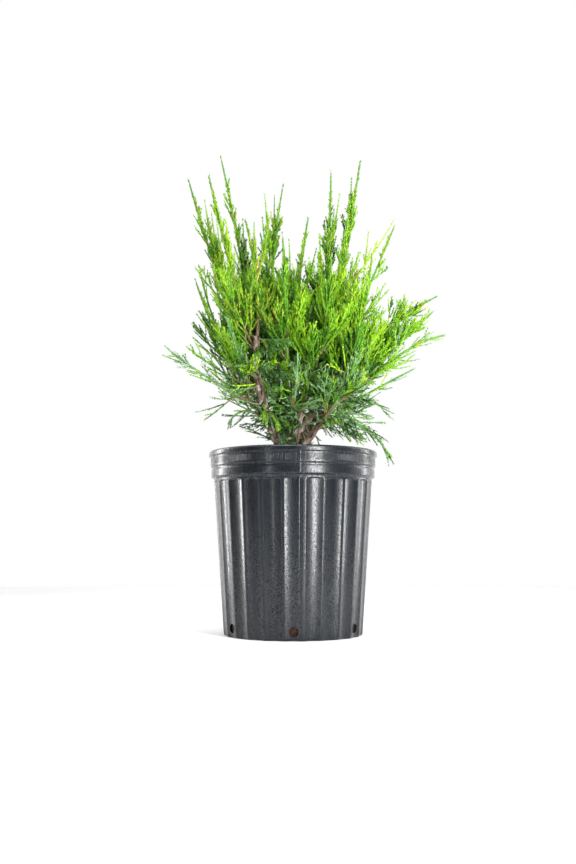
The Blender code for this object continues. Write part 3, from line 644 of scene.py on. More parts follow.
def loose_pieces(count, sizes, tilt, random):
    """Icosahedra stretched to a length, width and thickness, dented, leaned, turned and laid on the bed."""
    size = np.stack([random.uniform(*limits, count) for limits in sizes], axis=-1)
    points = ICO_POINTS * random.uniform(*DENTS, (count, 12, 1)) * size[:, None] / 2
    x, y, z = np.moveaxis(points, -1, 0)
    lean = random.normal(0, tilt, (count, 1))
    x, z = x * np.cos(lean) - z * np.sin(lean), x * np.sin(lean) + z * np.cos(lean)
    turn = random.uniform(0, 2 * np.pi, (count, 1))
    x, y = x * np.cos(turn) - y * np.sin(turn), x * np.sin(turn) + y * np.cos(turn)
    radius = np.sqrt(random.uniform(0, 1, (count, 1))) * MIX_SLOPE_RADIUS
    bearing = random.uniform(0, 2 * np.pi, (count, 1))
    down = np.clip((radius - MIX_CROWN_RADIUS) / (RIM_INSIDE - MIX_CROWN_RADIUS), 0, 1)
    z = z + mix(MIX_CROWN, MIX_SLOPE_FOOT, down) + random.uniform(0, PILE, (count, 1))
    placed = np.stack([x + radius * np.cos(bearing), y + radius * np.sin(bearing), z], axis=-1)
    faces = ICO_FACES[None] + 12 * np.arange(count)[:, None, None]
    return placed.reshape(-1, 3), faces.reshape(-1, 3)


# %% Mix: finishes
MIX_FINISHES = (  # name, plain colour, roughness, specular, grain sizes, darker and lighter shade, relief
    ("mix_brown", (0.05, 0.024, 0.016), 0.95, 0.2, (0.7, 2.6),
     ((0.022, 0.010, 0.008), (0.085, 0.040, 0.026)), 1.2),
    ("bark_chip", (0.09, 0.045, 0.03), 0.85, 0.3, (0.5, 5.0),
     ((0.040, 0.017, 0.013), (0.135, 0.068, 0.042)), 0.4),
    ("perlite", (0.8, 0.78, 0.74), 0.9, 0.3, (0.4, 1.5),
     ((0.58, 0.54, 0.48), (0.86, 0.85, 0.82)), 0.3),
)
mix_brown, chip_brown, perlite_white = (grained(*row) for row in MIX_FINISHES)
print("finishes:", [row[0] for row in MIX_FINISHES])

# %% Mix: made
CHIPS, CHIP_SIZES, CHIP_TILT = 2600, ((1.6, 6.5), (1.0, 3.0), (0.7, 1.6)), 0.35
BEADS, BEAD_SIZES, BEAD_TILT = 170, ((1.2, 2.6), (1.1, 2.2), (1.0, 1.9)), 1.0
bed = put("mix_bed", *bed_surface(), [mix_brown])
weld(bed)
chip_surface = loose_pieces(CHIPS, CHIP_SIZES, CHIP_TILT, mix_random)
chips = put("mix_chips", *chip_surface, [chip_brown], smooth=False)
bead_surface = loose_pieces(BEADS, BEAD_SIZES, BEAD_TILT, mix_random)
beads = put("mix_perlite", *bead_surface, [perlite_white])
for made in (bed, chips, beads):
    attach(made, "root")
    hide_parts("potting_mix")
    report(made)

# %% [markdown]
# ## Trunk and boughs
# The trunk flares where it leaves the mix and forks low down, and the boughs
# bend out from it and then up.  Old juniper bark is grey-brown and peels in long
# strips, so the relief runs along the limb.  Each limb is a path with circles
# carried along it, and the radius rises and falls with the bearing to make the
# strips, with a slow swelling here and there.

# %% Limbs: named sizes
TRUNK = (  # a point on the trunk's axis and the radius there
    ((0, 0, 159.3), 15.0),
    ((0, 0, 162.4), 12.2),
    ((-0.6, 0.2, 167.0), 9.6),
    ((-1.6, 0.8, 176.0), 8.2),
    ((-3.0, 2.0, 192.0), 7.2),
)
BOUGHS = (  # name, carrier, share of the carrier, knee, tip, foot radius, tip radius
    ("bough_left", "trunk", 0.22, (-40, -8, 222), (-35, -40, 289), 5.4, 3.4),
    ("bough_centre", "trunk", 1.0, (-6, 3, 218), (-3, -2, 242), 5.0, 3.6),
    ("bough_centre_right", "trunk", 0.62, (5, -6, 214), (18, -10, 250), 4.2, 3.0),
    ("bough_right_outer", "trunk", 0.24, (28, -7, 214), (54, -6, 240), 3.8, 2.4),
    ("bough_right_inner", "trunk", 0.80, (26, 6, 226), (48, 6, 280), 3.6, 2.6),
    ("bough_back_left", "trunk", 0.50, (-22, 32, 212), (-36, 36, 246), 4.2, 3.0),
    ("bough_back_right", "trunk", 0.42, (18, 32, 208), (30, 44, 240), 4.2, 3.0),
)
LIMB_COLUMNS, LIMB_STEP, LEAST_ROWS = 36, 1.0, 8
STRIPS, STRIP_RELIEF, SWELL_RELIEF, FLARE_RELIEF = 8, 0.12, 0.10, 0.16
STRIP_LAYERS, MORE_STRIPS, SPARE_STRIPS, STRIP_SHARPNESS, STRIP_TWIST = 3, 4, 3, 1.4, 0.02
WANDER, WANDER_RATE, WANDER_FASTER, FULL_TURN = 1.7, 0.050, 0.021, 6.3
SWELL_RATE, SWELL_TWIST, FLARE_REACH, ROOTS = 0.23, 0.05, 5.0, 4
DOME_ANGLES, DOME_HEIGHT, HEADING_SOFTENING = (30, 60, 90), 0.55, 6
NEARLY_UPRIGHT = 1e-3

print("boughs:", len(BOUGHS))

# %% Limbs: curves and frames
def bend(foot, knee, tip, stations):
    """A quadratic curve from foot to tip that its knee pulls outwards."""
    share = np.linspace(0, 1, stations)[:, None]
    foot, knee, tip = (np.array(point, dtype=float) for point in (foot, knee, tip))
    return foot * (1 - share) ** 2 + knee * 2 * share * (1 - share) + tip * share ** 2


def path_lengths(path):
    """The distance along a path at each of its points."""
    return np.concatenate([[0.0], np.cumsum(np.linalg.norm(np.diff(path, axis=0), axis=1))])


def along(path, share):
    """Points and unit directions at shares of a path's length."""
    reached = path_lengths(path)
    at = np.atleast_1d(share) * reached[-1]
    points = np.stack([np.interp(at, reached, path[:, axis]) for axis in range(3)], axis=-1)
    run = np.clip(np.searchsorted(reached, at, side="right") - 1, 0, len(path) - 2)
    return points, unit(path[run + 1] - path[run])


def side_frames(headings):
    """Two unit directions square to each heading and to each other."""
    side = np.cross(headings, UP)
    flat = np.linalg.norm(side, axis=-1, keepdims=True) < NEARLY_UPRIGHT
    side = unit(np.where(flat, np.array((1.0, 0.0, 0.0)), side))
    return side, unit(np.cross(headings, side))


HASH_SEED, HASH_NUMBER, HASH_SCALE = 12.9898, 78.233, 43758.5453


def chance(seed, number):
    """A repeatable value from 0 to 1: what follows the point in a large multiple of a sine."""
    return np.sin(seed * HASH_SEED + number * HASH_NUMBER) * HASH_SCALE % 1.0


def waves(turn, distance, seed):
    """Strips of bark: cosines round the limb whose phase wanders along it, sharpened into ridges."""
    value = np.zeros_like(turn)
    for number in range(STRIP_LAYERS):
        count = STRIPS + MORE_STRIPS * number + int(SPARE_STRIPS * chance(seed, number))
        rate = WANDER_RATE + WANDER_FASTER * number
        wander = WANDER * np.sin(distance * rate + FULL_TURN * chance(seed, number + 0.5))
        ridges = np.abs(np.cos(turn * count / 2 + wander + distance * STRIP_TWIST * (number - 1)))
        value += ridges / (number + STRIP_SHARPNESS)
    return value - value.mean()


# %% Limbs: surface
def dome(middle, outward, thick, onward, radius):
    """Rings that close an end: circles that shrink by an angle's cosine and move on by its sine."""
    rings = []
    for angle in np.radians(DOME_ANGLES):
        pushed = math.sin(angle) * radius * DOME_HEIGHT
        rings.append(middle + outward * (thick * math.cos(angle))[:, None] + onward * pushed)
    return np.array(rings)


def limb_surface(path, radii, seed, flare):
    """Circles carried along a path: strips, slow swellings and a flare of roots change the radius with
    the bearing, and the two ends close in domes."""
    reached = path_lengths(path)
    count = max(LEAST_ROWS, int(reached[-1] / LIMB_STEP))
    share = np.linspace(0, 1, count)
    points, heading = along(path, share)
    for _ in range(HEADING_SOFTENING):
        heading[1:-1] = unit(heading[:-2] + 2 * heading[1:-1] + heading[2:])
    radius = np.interp(share * reached[-1], reached, radii)
    side, other = side_frames(heading)
    turn, row = np.meshgrid(turns(LIMB_COLUMNS), np.arange(count))
    distance = share[row] * reached[-1]
    swell = np.sin(distance * SWELL_RATE + FULL_TURN * chance(seed, 9))
    swell = swell * np.cos(turn + distance * SWELL_TWIST)
    relief = STRIP_RELIEF * waves(turn, distance, seed) + SWELL_RELIEF * swell
    relief += flare * np.exp(-distance / FLARE_REACH) * np.cos(turn * ROOTS + seed)
    thick = radius[row] * (1 + relief)
    outward = swung(side[row], other[row], turn)
    body = points[row] + outward * thick[..., None]
    foot = dome(points[0], outward[0], thick[0], -heading[0], radius[0])
    head = dome(points[-1], outward[-1], thick[-1], heading[-1], radius[-1])
    body = np.concatenate([foot[::-1], body, head])
    lie = np.concatenate([[0, 0, 0], share * reached[-1], reached[-1] + np.array((1, 2, 3))])
    ring = [wave(turn[0]) * radius.mean() for wave in (np.cos, np.sin)]
    unrolled = np.stack([np.broadcast_to(part, body.shape[:2]) for part in (*ring, lie[:, None])], axis=-1)
    return body.reshape(-1, 3), round_faces(len(body), LIMB_COLUMNS), unrolled.reshape(-1, 3)


def keep_path(made, unrolled):
    """Stores each point's place on the unrolled limb, in metres, for the bark to follow."""
    stored = made.data.attributes.new("unrolled", "FLOAT_VECTOR", "POINT")
    stored.data.foreach_set("vector", (unrolled * MM).astype(np.float32).ravel())


# %% [markdown]
# Bark is a strip pattern: a noise stretched about three times along the limb,
# dark in the furrows and tan on the flakes, with grey weathering laid over in
# patches.  The near black of the furrows is partly their own darker bark and
# partly painted shade.  It could be painted on an unwrapped image.  Here the mesh
# keeps each point's place on the unrolled limb and the noise reads that, so the
# strips bend where the bough bends.

# %% Bark
# the furrows' colour is near black: partly their own tone, partly painted shade
BARK_FURROW_SHADE, BARK_TAN, BARK_GREY = (0.014, 0.010, 0.007), (0.290, 0.210, 0.155), (0.540, 0.455, 0.390)
STRIP_GRAINS, STRIP_LONG, FLAKE_GRAINS, FLAKE_LONG = (1.2, 3.4), (1, 1, 0.30), (1.2, 4.6), (1, 1, 0.50)
WEATHERED, WEATHERED_SPAN, BARK_ROUGHNESS, BARK_RELIEF = (0.0, 0.85), (0.45, 0.9), (0.95, 0.7), 2.4
BARK_PLAIN, BARK_GLOSS = (0.2, 0.13, 0.09), (0.88, 0.25)
old_bark, tree, shader = new_material("old_bark", BARK_PLAIN, *BARK_GLOSS)
unrolled_place = tree.nodes.new("ShaderNodeAttribute")
unrolled_place.attribute_name = "unrolled"
lie = unrolled_place.outputs["Vector"]
strips = add_grain(tree, place_map(tree, lie, STRIP_LONG), *STRIP_GRAINS)
flakes = add_grain(tree, place_map(tree, lie, FLAKE_LONG), *FLAKE_GRAINS)
# near black in the furrows: partly the bark's own tone, partly painted shade
furrow_shaded = colour_between(tree, strips.outputs["Patches"], BARK_FURROW_SHADE, BARK_TAN)
weathered = value_between(tree, flakes.outputs["Patches"], *WEATHERED, *WEATHERED_SPAN)
feed(tree, shader, "Base Color", colour_between(tree, weathered, furrow_shaded, BARK_GREY))
feed(tree, shader, "Roughness", value_between(tree, strips.outputs["Height"], *BARK_ROUGHNESS))
bump_from(tree, shader, strips.outputs["Height"], BARK_RELIEF)
print("finish:", old_bark.name, "relief, mm:", BARK_RELIEF)

# %% Limbs: made
BOUGH_STATIONS, SMOOTH_STATIONS = 6, 40
trunk_path, trunk_radii = (np.array(values, dtype=float) for values in zip(*TRUNK))
limb_paths = {"trunk": (trunk_path, trunk_radii)}
for name, carrier, share, knee, tip, foot_radius, tip_radius in BOUGHS:
    foot, _ = along(limb_paths[carrier][0], share)
    path = bend(foot[0], knee, tip, BOUGH_STATIONS)
    limb_paths[name] = (path, np.linspace(foot_radius, tip_radius, BOUGH_STATIONS))

bends = {name: (knee, tip) for name, _, _, knee, tip, _, _ in BOUGHS}
for seed, (name, (path, radii)) in enumerate(limb_paths.items()):
    if name in bends:
        path = bend(path[0], *bends[name], SMOOTH_STATIONS)
        radii = np.linspace(radii[0], radii[-1], SMOOTH_STATIONS)
    flare = FLARE_RELIEF if name == "trunk" else 0.0
    points, faces, unrolled = limb_surface(path, radii, seed + 1, flare)
    made = put(f"bark_{name}", points, faces, [old_bark])
    keep_path(made, unrolled)
    weld(made)
    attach(made, "root")
    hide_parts(name)
    report(made)

# %% [markdown]
# ## Foliage
# A juniper of this kind carries its green in feathery plumes.  A stem leaves a
# bough, twigs leave the stem by the golden angle, and each twig branches again
# and again at a sharp angle until only a cord a few millimetres long is left.
# Every cord is clad in tiny pointed scales, in pairs that cross each other.
# The stems and twigs below stand where the solids put theirs; the finer growth
# stays within the same reach.

# %% Foliage: named sizes
UPRIGHT, LEVEL, DROOPING = 0.45, 0.28, -0.5
MASSES = (  # name, carrier, share of the carrier, knee, tip, reach, lift
    ("left_whip", "bough_left", 0.62, (-74, -6, 340), (-109, 5, 466), 102, UPRIGHT),
    ("left_middle", "bough_left", 0.84, (-62, -46, 350), (-85, -25, 458), 96, UPRIGHT),
    ("left_tall", "bough_back_left", 1.0, (-46, 22, 360), (-76, 15, 494), 106, UPRIGHT),
    ("centre_left_spire", "bough_centre", 0.80, (-34, 0, 330), (-10, 0, 457), 106, UPRIGHT),
    ("front_left_spire", "bough_left", 0.99, (-30, -62, 335), (-47, -50, 404), 88, UPRIGHT),
    ("valley", "bough_centre", 1.0, (2, 4, 335), (16, 20, 429), 96, UPRIGHT),
    ("right_spire_inner", "bough_centre_right", 1.0, (38, -4, 340), (40, 10, 477), 106, UPRIGHT),
    ("right_spire_outer", "bough_right_inner", 0.74, (48, -26, 350), (69, -15, 477), 102, UPRIGHT),
    ("right_diagonal", "bough_right_inner", 1.0, (76, 12, 345), (107, 15, 420), 92, UPRIGHT),
    ("right_shoulder", "bough_right_outer", 0.67, (72, -38, 300), (78, -36, 372), 88, UPRIGHT),
    ("far_right_upper", "bough_right_outer", 0.86, (88, 16, 312), (147, 8, 341), 76, LEVEL),
    ("far_right_middle", "bough_right_outer", 1.0, (104, -10, 286), (142, -8, 322), 66, LEVEL),
    ("far_right_lower", "bough_right_outer", 0.76, (110, -30, 286), (150, -24, 294), 64, LEVEL),
    ("right_low", "bough_right_outer", 0.59, (88, 30, 250), (127, 30, 270), 64, LEVEL),
    ("right_droop", "bough_right_outer", 0.45, (66, -22, 224), (93, -24, 176), 64, DROOPING),
    ("left_low", "bough_left", 0.46, (-80, -14, 246), (-125, -15, 282), 58, LEVEL),
    ("left_side", "bough_left", 0.56, (-74, -24, 274), (-98, -20, 352), 88, UPRIGHT),
    ("left_side_back", "bough_back_left", 0.72, (-78, 40, 280), (-100, 38, 382), 92, UPRIGHT),
    ("left_droop", "bough_left", 0.36, (-52, 2, 234), (-66, 8, 209), 52, DROOPING),
    ("front_centre", "bough_centre", 0.68, (-6, -58, 290), (-10, -74, 376), 92, UPRIGHT),
    ("front_right", "bough_centre_right", 0.84, (34, -60, 288), (36, -78, 360), 88, UPRIGHT),
    ("front_low", "bough_centre", 0.50, (4, -46, 226), (4, -86, 262), 68, LEVEL),
    ("front_low_left", "bough_left", 0.70, (-54, -64, 252), (-60, -82, 300), 68, LEVEL),
    ("front_low_right", "bough_right_outer", 0.52, (54, -50, 238), (66, -76, 282), 68, LEVEL),
    ("centre_low_left", "bough_centre", 0.34, (-24, -20, 244), (-22, -38, 312), 68, UPRIGHT),
    ("centre_low_right", "bough_centre_right", 0.60, (20, -36, 246), (20, -48, 306), 68, UPRIGHT),
    ("back_left", "bough_back_left", 0.86, (-42, 72, 320), (-52, 82, 420), 102, UPRIGHT),
    ("back_right", "bough_back_right", 1.0, (48, 70, 330), (58, 80, 440), 102, UPRIGHT),
    ("back_centre", "bough_back_right", 0.84, (4, 62, 310), (6, 84, 400), 92, UPRIGHT),
    ("back_low_left", "bough_back_left", 0.56, (-58, 70, 244), (-76, 84, 300), 72, LEVEL),
    ("back_low_right", "bough_back_right", 0.70, (70, 66, 246), (92, 82, 304), 72, LEVEL),
    ("back_low", "bough_back_right", 0.54, (8, 64, 226), (-6, 92, 256), 68, LEVEL),
)
REGIONS = (  # a region of the crown, and the masses in it
    ("left_plumes", ("left_whip", "left_middle", "left_tall")),
    ("centre_plumes", ("centre_left_spire", "front_left_spire", "valley")),
    ("right_plumes", ("right_spire_inner", "right_spire_outer", "right_diagonal", "right_shoulder")),
    ("far_right", ("far_right_upper", "far_right_middle", "far_right_lower", "right_low", "right_droop")),
    ("left_skirt", ("left_low", "left_side", "left_side_back", "left_droop")),
    ("front_plumes", ("front_centre", "front_right", "centre_low_left", "centre_low_right")),
    ("front_skirt", ("front_low", "front_low_left", "front_low_right")),
    ("back_plumes", ("back_left", "back_right", "back_centre")),
    ("back_skirt", ("back_low_left", "back_low_right", "back_low")),
)
print("masses:", len(MASSES), "in regions:", len(REGIONS))

# %% [markdown]
# The solids place their twigs by a rule, and it is written again here, so that
# the dressed plant grows where the solids stand.  Twigs leave the stem a golden
# angle apart, closer to it and shorter towards the tip.  Between the twigs of the
# solids stand finer ones, and a few of those lean so little that they run beside
# the stem: these are the leaders.

# %% Foliage: the branching rule
GOLDEN_ANGLE, TWIG_SPACING, LEAST_TWIGS = 137.5, 27.5, 5
FIRST_TWIG, LAST_TWIG, SPACING_JITTER, REACH_JITTER, NEAREST_TIP = 0.04, 0.93, 0.6, 0.12, 0.98
TWIG_OPEN, TWIG_CLOSE = 50.0, 21.0
FOOT_REACH, WHIP_REACH, FAN_REACH, REACH_CURVE = 0.85, 0.12, 0.36, 1.2
TWIGS_PER_GROWTH, SPARSE_TWIGS_PER_GROWTH = 5, 3
SPARSE_MASSES = ("left_low", "left_droop", "right_low", "right_droop", "far_right_lower")
HANGING_LIFT, HANGING_PART, LOW_TIP = -1.0, 0.35, 315.0
LEADER_EVERY, LEADER_FIRST, LEADER_FROM, LEADER_TO = 8, 2, 0.22, 0.64
LEADER_MORE, LEADER_ANGLE = 8.0, 14.0
BETWEEN_REACH, LEFT_REACH, LEFT_MORE = 0.86, 0.92, 4.0
WHIP_FROM, WHIP_RUN, WHIP_THIN = 0.56, 0.34, 0.50
BARE_WHIP = {UPRIGHT: 0.90, LEVEL: 0.95, DROOPING: 0.95}


def turned_from(heading, angle, around, lift):
    """Headings leaned from others by an angle, at a bearing around them, then lifted or drooped."""
    outward = swung(*side_frames(heading), around)
    return unit(swung(heading, outward, angle) + UP * (lift * np.sin(angle))[..., None])


def reach_at(share, reach, lift):
    """How far foliage stands off at a share of its stem: full near the foot, slight on a whip."""
    least = WHIP_REACH if lift == UPRIGHT else FAN_REACH
    return reach * mix(least, 1.0, (1 - share) ** REACH_CURVE) * np.minimum(1.0, FOOT_REACH + 2 * share)


def growths_of(stem, reach, lift, seed, between):
    """The feet, headings, reaches, shares and leaders of a stem's twigs.  Whole numbers give the
    twigs of the solids, and the numbers between them the finer ones, some of them steep leaders."""
    whole = path_lengths(stem)[-1]
    count = max(LEAST_TWIGS, round(whole / TWIG_SPACING))
    number = np.arange(count * between) / between
    share = mix(FIRST_TWIG, LAST_TWIG, (number + SPACING_JITTER * chance(seed, number)) / count)
    share = np.minimum(share, NEAREST_TIP)
    foot, heading = along(stem, share)
    angle = np.radians(mix(TWIG_OPEN, TWIG_CLOSE, share))
    around = np.radians(number * GOLDEN_ANGLE + 360 * chance(seed, 0.5))
    long = reach_at(share, reach, lift) * mix(1 - REACH_JITTER, 1 + REACH_JITTER, chance(seed, number + 0.25))
    long = long * np.where(number % 1 == 0, 1.0, BETWEEN_REACH)
    hanging = (stem[-1][2] < LOW_TIP) & (number % 1 > 0) & (number % 1 < HANGING_PART)
    lifts = np.where(hanging, HANGING_LIFT, lift)
    leader = np.zeros(len(number), dtype=bool)
    if lift == UPRIGHT:
        leader = np.arange(len(number)) % LEADER_EVERY == LEADER_FIRST
        leader &= (share > LEADER_FROM) & (share < LEADER_TO)
        long = long * mix(1.0, WHIP_THIN, smooth_step((share - WHIP_FROM) / WHIP_RUN) * ~leader)
        long = np.where(leader, long + LEADER_MORE, long)
        angle = np.where(leader, math.radians(LEADER_ANGLE), angle)
    long = np.minimum(long, (1 - share) * whole * LEFT_REACH + LEFT_MORE)
    kept = share < BARE_WHIP[lift]
    heading = turned_from(heading, angle, around, lifts)
    return foot[kept], heading[kept], long[kept], share[kept], leader[kept]


# %% [markdown]
# Thousands of axes have to be branched at once, so an axis is not an object but
# one row in a set of arrays.  Its path is a foot, plus a run times t, plus a
# curl times t squared, with t from 0 to 1; the same formula gives every point
# and direction on every axis in one step.

# %% Foliage: axes as arrays
class Axes:
    """Many curved axes: foot + run t + curl t t, each with its sizes, its light and where it belongs."""

    FIELDS = (
        "foot", "run", "curl", "length", "foot_radius", "tip_radius", "light",
        "mass", "guide", "clad", "lift", "low", "bare",
    )

    def __init__(self, **values):
        """Each field has a row for each axis; one number stands for the same value in every row."""
        for name in self.FIELDS:
            value = np.asarray(values[name])
            setattr(self, name, value if value.ndim else np.full(len(values["length"]), value))

    def __len__(self):
        """The number of axes."""
        return len(self.length)

    def pick(self, which):
        """The chosen axes, by their numbers or by true and false."""
        return Axes(**{name: getattr(self, name)[which] for name in self.FIELDS})

    def points(self, share):
        """The point on each axis at its share: foot + run t + curl t t."""
        share = np.asarray(share)[..., None]
        return self.foot + self.run * share + self.curl * share * share

    def tips(self):
        """The point at the end of each axis."""
        return self.points(np.ones(len(self)))

    def headings(self, share):
        """The direction of each axis at its share: run + 2 curl t, made a unit long."""
        share = np.asarray(share)[..., None]
        return unit(self.run + 2 * self.curl * share)


def joined(parts):
    """Several sets of axes as one."""
    return Axes(**{name: np.concatenate([getattr(part, name) for part in parts]) for name in Axes.FIELDS})


# %% [markdown]
# Growth has to keep out of the pot and leave the sky open between the low stems,
# where a real plant is kept open by shade and by chance.  Cutting finished
# leaves away would leave blunt ends.  Here each new axis is judged by where it
# goes before it is made: none may enter the rim, and of those whose tips fall in
# a window of sky only a share is kept.

# %% Foliage: kept clear
RIM_KEEP = (  # from and to this far out, nothing grows below this height
    (74.5, 88.0, 185.5),
    (0.0, 74.5, 163.0),
)
JUDGED_AT = (0.3, 0.6, 0.85, 1.0)  # shares of an axis where it is looked at
SKY_WINDOWS = (  # from x, to x, from z, to z, share of the tips that stay out of it
    (5, 14, 160, 234, 0.96),
    (14, 32, 160, 206, 0.88),
    (32, 58, 160, 196, 0.85),
    (36, 60, 196, 212, 0.30),
    (-60, -22, 160, 190, 0.94),
    (-60, -28, 190, 203, 0.60),
    (-22, 5, 160, 215, 0.12),
    (14, 40, 206, 238, 0.30),
    (-110, -26, 196, 250, 0.22),
    (-73, -43, 209, 243, 0.58),
    (-73, -58, 190, 209, 0.35),
    (60, 76, 209, 224, 0.85),
    (76, 92, 204, 246, 0.26),
    (92, 124, 227, 246, 0.50),
    (92, 107, 246, 264, 0.45),
    (107, 142, 236, 284, 0.40),
    (109, 124, 276, 292, 0.50),
    (-12, 8, 216, 232, 0.25),
    (62, 76, 366, 392, 0.70),
    (76, 92, 322, 396, 0.72),
    (90, 108, 318, 364, 0.58),
    (-104, -89, 276, 308, 0.90),
    (-89, -73, 276, 292, 0.75),
    (-89, -73, 256, 276, 0.30),
    (-106, -73, 324, 358, 0.60),
    (-106, -90, 398, 420, 0.50),
)


def clear_of_sky(axes, random):
    """False for the stated share of the axes whose tips are in a window of sky."""
    x, _, z = axes.tips().T
    draw = random.uniform(0, 1, len(axes))
    clear = np.ones(len(axes), dtype=bool)
    for left, right, low, high, share in SKY_WINDOWS:
        within = (x > left) & (x < right) & (z > low) & (z < high)
        clear &= ~(within & (draw < share))
    return clear


def clear_of_pot(axes):
    """True for axes none of whose sampled points is in the rim or in the mix."""
    clear = np.ones(len(axes), dtype=bool)
    for share in JUDGED_AT:
        x, y, z = axes.points(np.full(len(axes), share)).T
        away = np.hypot(x, y)
        for inner, outer, height in RIM_KEEP:
            clear &= ~((away > inner) & (away < outer) & (z < height))
    return clear


# %% [markdown]
# The stems and twigs follow the rule, except the slight whips that stand beside
# the main ones.  Their tips make the plant's outline, so each is given one by one:
# a row gives the stem, the share of it where the whip leaves, and its tip.  A
# curve drawn by hand for each could do it too, but a row is easier to change.
# Every axis also gets a light score, which later chooses its green.

# %% Foliage: stems
STEM_RADIUS, STEM_TIP_RADIUS, STEM_STATIONS, STEM_CLAD, STEM_BARE = 1.8, 0.80, 24, 0.30, 0.12
TWIG_RADIUS, TWIG_TIP_RADIUS, TWIG_BARE, LEADER_BARE = 0.9, 0.5, 0.08, 0.34
THICK_TWIG, THINNEST, LONG_TWIG, LONG_CLAD, SHORT_CLAD = 55.0, 0.55, 34.0, 0.35, 0.1
TWIG_CURL = {UPRIGHT: 0.20, LEVEL: 0.08, DROOPING: -0.14}
WHIP_LIGHT, LOW_STEM_LIGHT, LIGHT_SPREAD, LOW_LIGHT_SPREAD = 0.53, 0.40, 0.11, 0.26
foliage_random = np.random.default_rng(11)


def stem_axis(knots, number, lift, low):
    """One stem as an axis: the quadratic curve's own run and curl."""
    foot, knee, tip = knots
    return Axes(
        foot=foot[None], run=2 * (knee - foot)[None], curl=(tip - 2 * knee + foot)[None],
        length=path_lengths(bend(foot, knee, tip, STEM_STATIONS))[-1:],
        foot_radius=STEM_RADIUS, tip_radius=STEM_TIP_RADIUS, light=LOW_STEM_LIGHT if low else WHIP_LIGHT,
        mass=number, guide=number, clad=STEM_CLAD, lift=lift, low=low, bare=STEM_BARE,
    )


# %% Foliage: light
CROWN_FOOT, CROWN_HEAD, CROWN_HALF, WHIP_TOP = 205.0, 395.0, 125.0, 480.0
LEAST_LIGHT, HEIGHT_LIGHT, HEIGHT_CURVE, OUTWARD_LIGHT = 0.145, 0.42, 0.75, 0.245
WHIP_SHADE, INNER_SHADE = 0.22, 0.06


def light_at(points):
    """How bright a spray is: more with its height and its distance out, less on whips and inside."""
    x, y, z = points.T
    height = np.clip((z - CROWN_FOOT) / (CROWN_HEAD - CROWN_FOOT), 0, 1)
    whip = np.clip((z - CROWN_HEAD) / (WHIP_TOP - CROWN_HEAD), 0, 1)
    outward = np.clip(np.hypot(x, y) / CROWN_HALF, 0, 1)
    inside = (1 - outward) ** 2 * (1 - height)
    lit = LEAST_LIGHT + HEIGHT_LIGHT * height ** HEIGHT_CURVE + OUTWARD_LIGHT * outward
    return lit - WHIP_SHADE * whip - INNER_SHADE * inside


# %% Foliage: whips given one by one
BARE_SPANS, BARE_KEEPS = {"left_low": (0.36, 0.68)}, 3  # in this span of a stem, one twig of three stays
LEADERS = (  # stem, share of the stem where it starts, tip: the slighter whips that show beside the main ones
    ("left_middle", 0.46, (-75, -35, 422)),
    ("left_middle", 0.40, (-66, -50, 404)),
    ("left_whip", 0.45, (-84, -4, 428)),
    ("left_whip", 0.52, (-91, -2, 440)),
    ("left_whip", 0.38, (-78, -12, 418)),
    ("left_tall", 0.45, (-52, 8, 424)),
    ("centre_left_spire", 0.56, (-29, -2, 447)),
    ("centre_left_spire", 0.62, (-19, 4, 448)),
    ("centre_left_spire", 0.36, (-31, -20, 416)),
    ("front_left_spire", 0.45, (-24, -52, 396)),
    ("front_left_spire", 0.52, (-38, -56, 398)),
    ("valley", 0.34, (-11, -10, 404)),
    ("valley", 0.30, (-4, -5, 398)),
    ("valley", 0.40, (24, -10, 387)),
    ("right_spire_inner", 0.36, (27, -10, 402)),
    ("right_spire_inner", 0.52, (48, -5, 446)),
    ("right_spire_inner", 0.46, (42, -12, 427)),
    ("right_spire_outer", 0.60, (60, -15, 459)),
    ("right_spire_outer", 0.38, (104, -10, 418)),
    ("right_spire_outer", 0.40, (56, -30, 420)),
    ("right_diagonal", 0.34, (78, 0, 408)),
    ("right_diagonal", 0.28, (82, 5, 381)),
    ("right_shoulder", 0.50, (88, -25, 352)),
)
LEADING_MASSES = {name for name, _, _ in LEADERS}


def leaders_of(name, stem):
    """The feet, headings and lengths of a stem's whips: straight from a share of the stem to a tip."""
    rows = [row for row in LEADERS if row[0] == name]
    feet, _ = along(stem, [share for _, share, _ in rows])
    reached = np.array([tip for _, _, tip in rows], dtype=float) - feet
    return feet, unit(reached), np.linalg.norm(reached, axis=1)


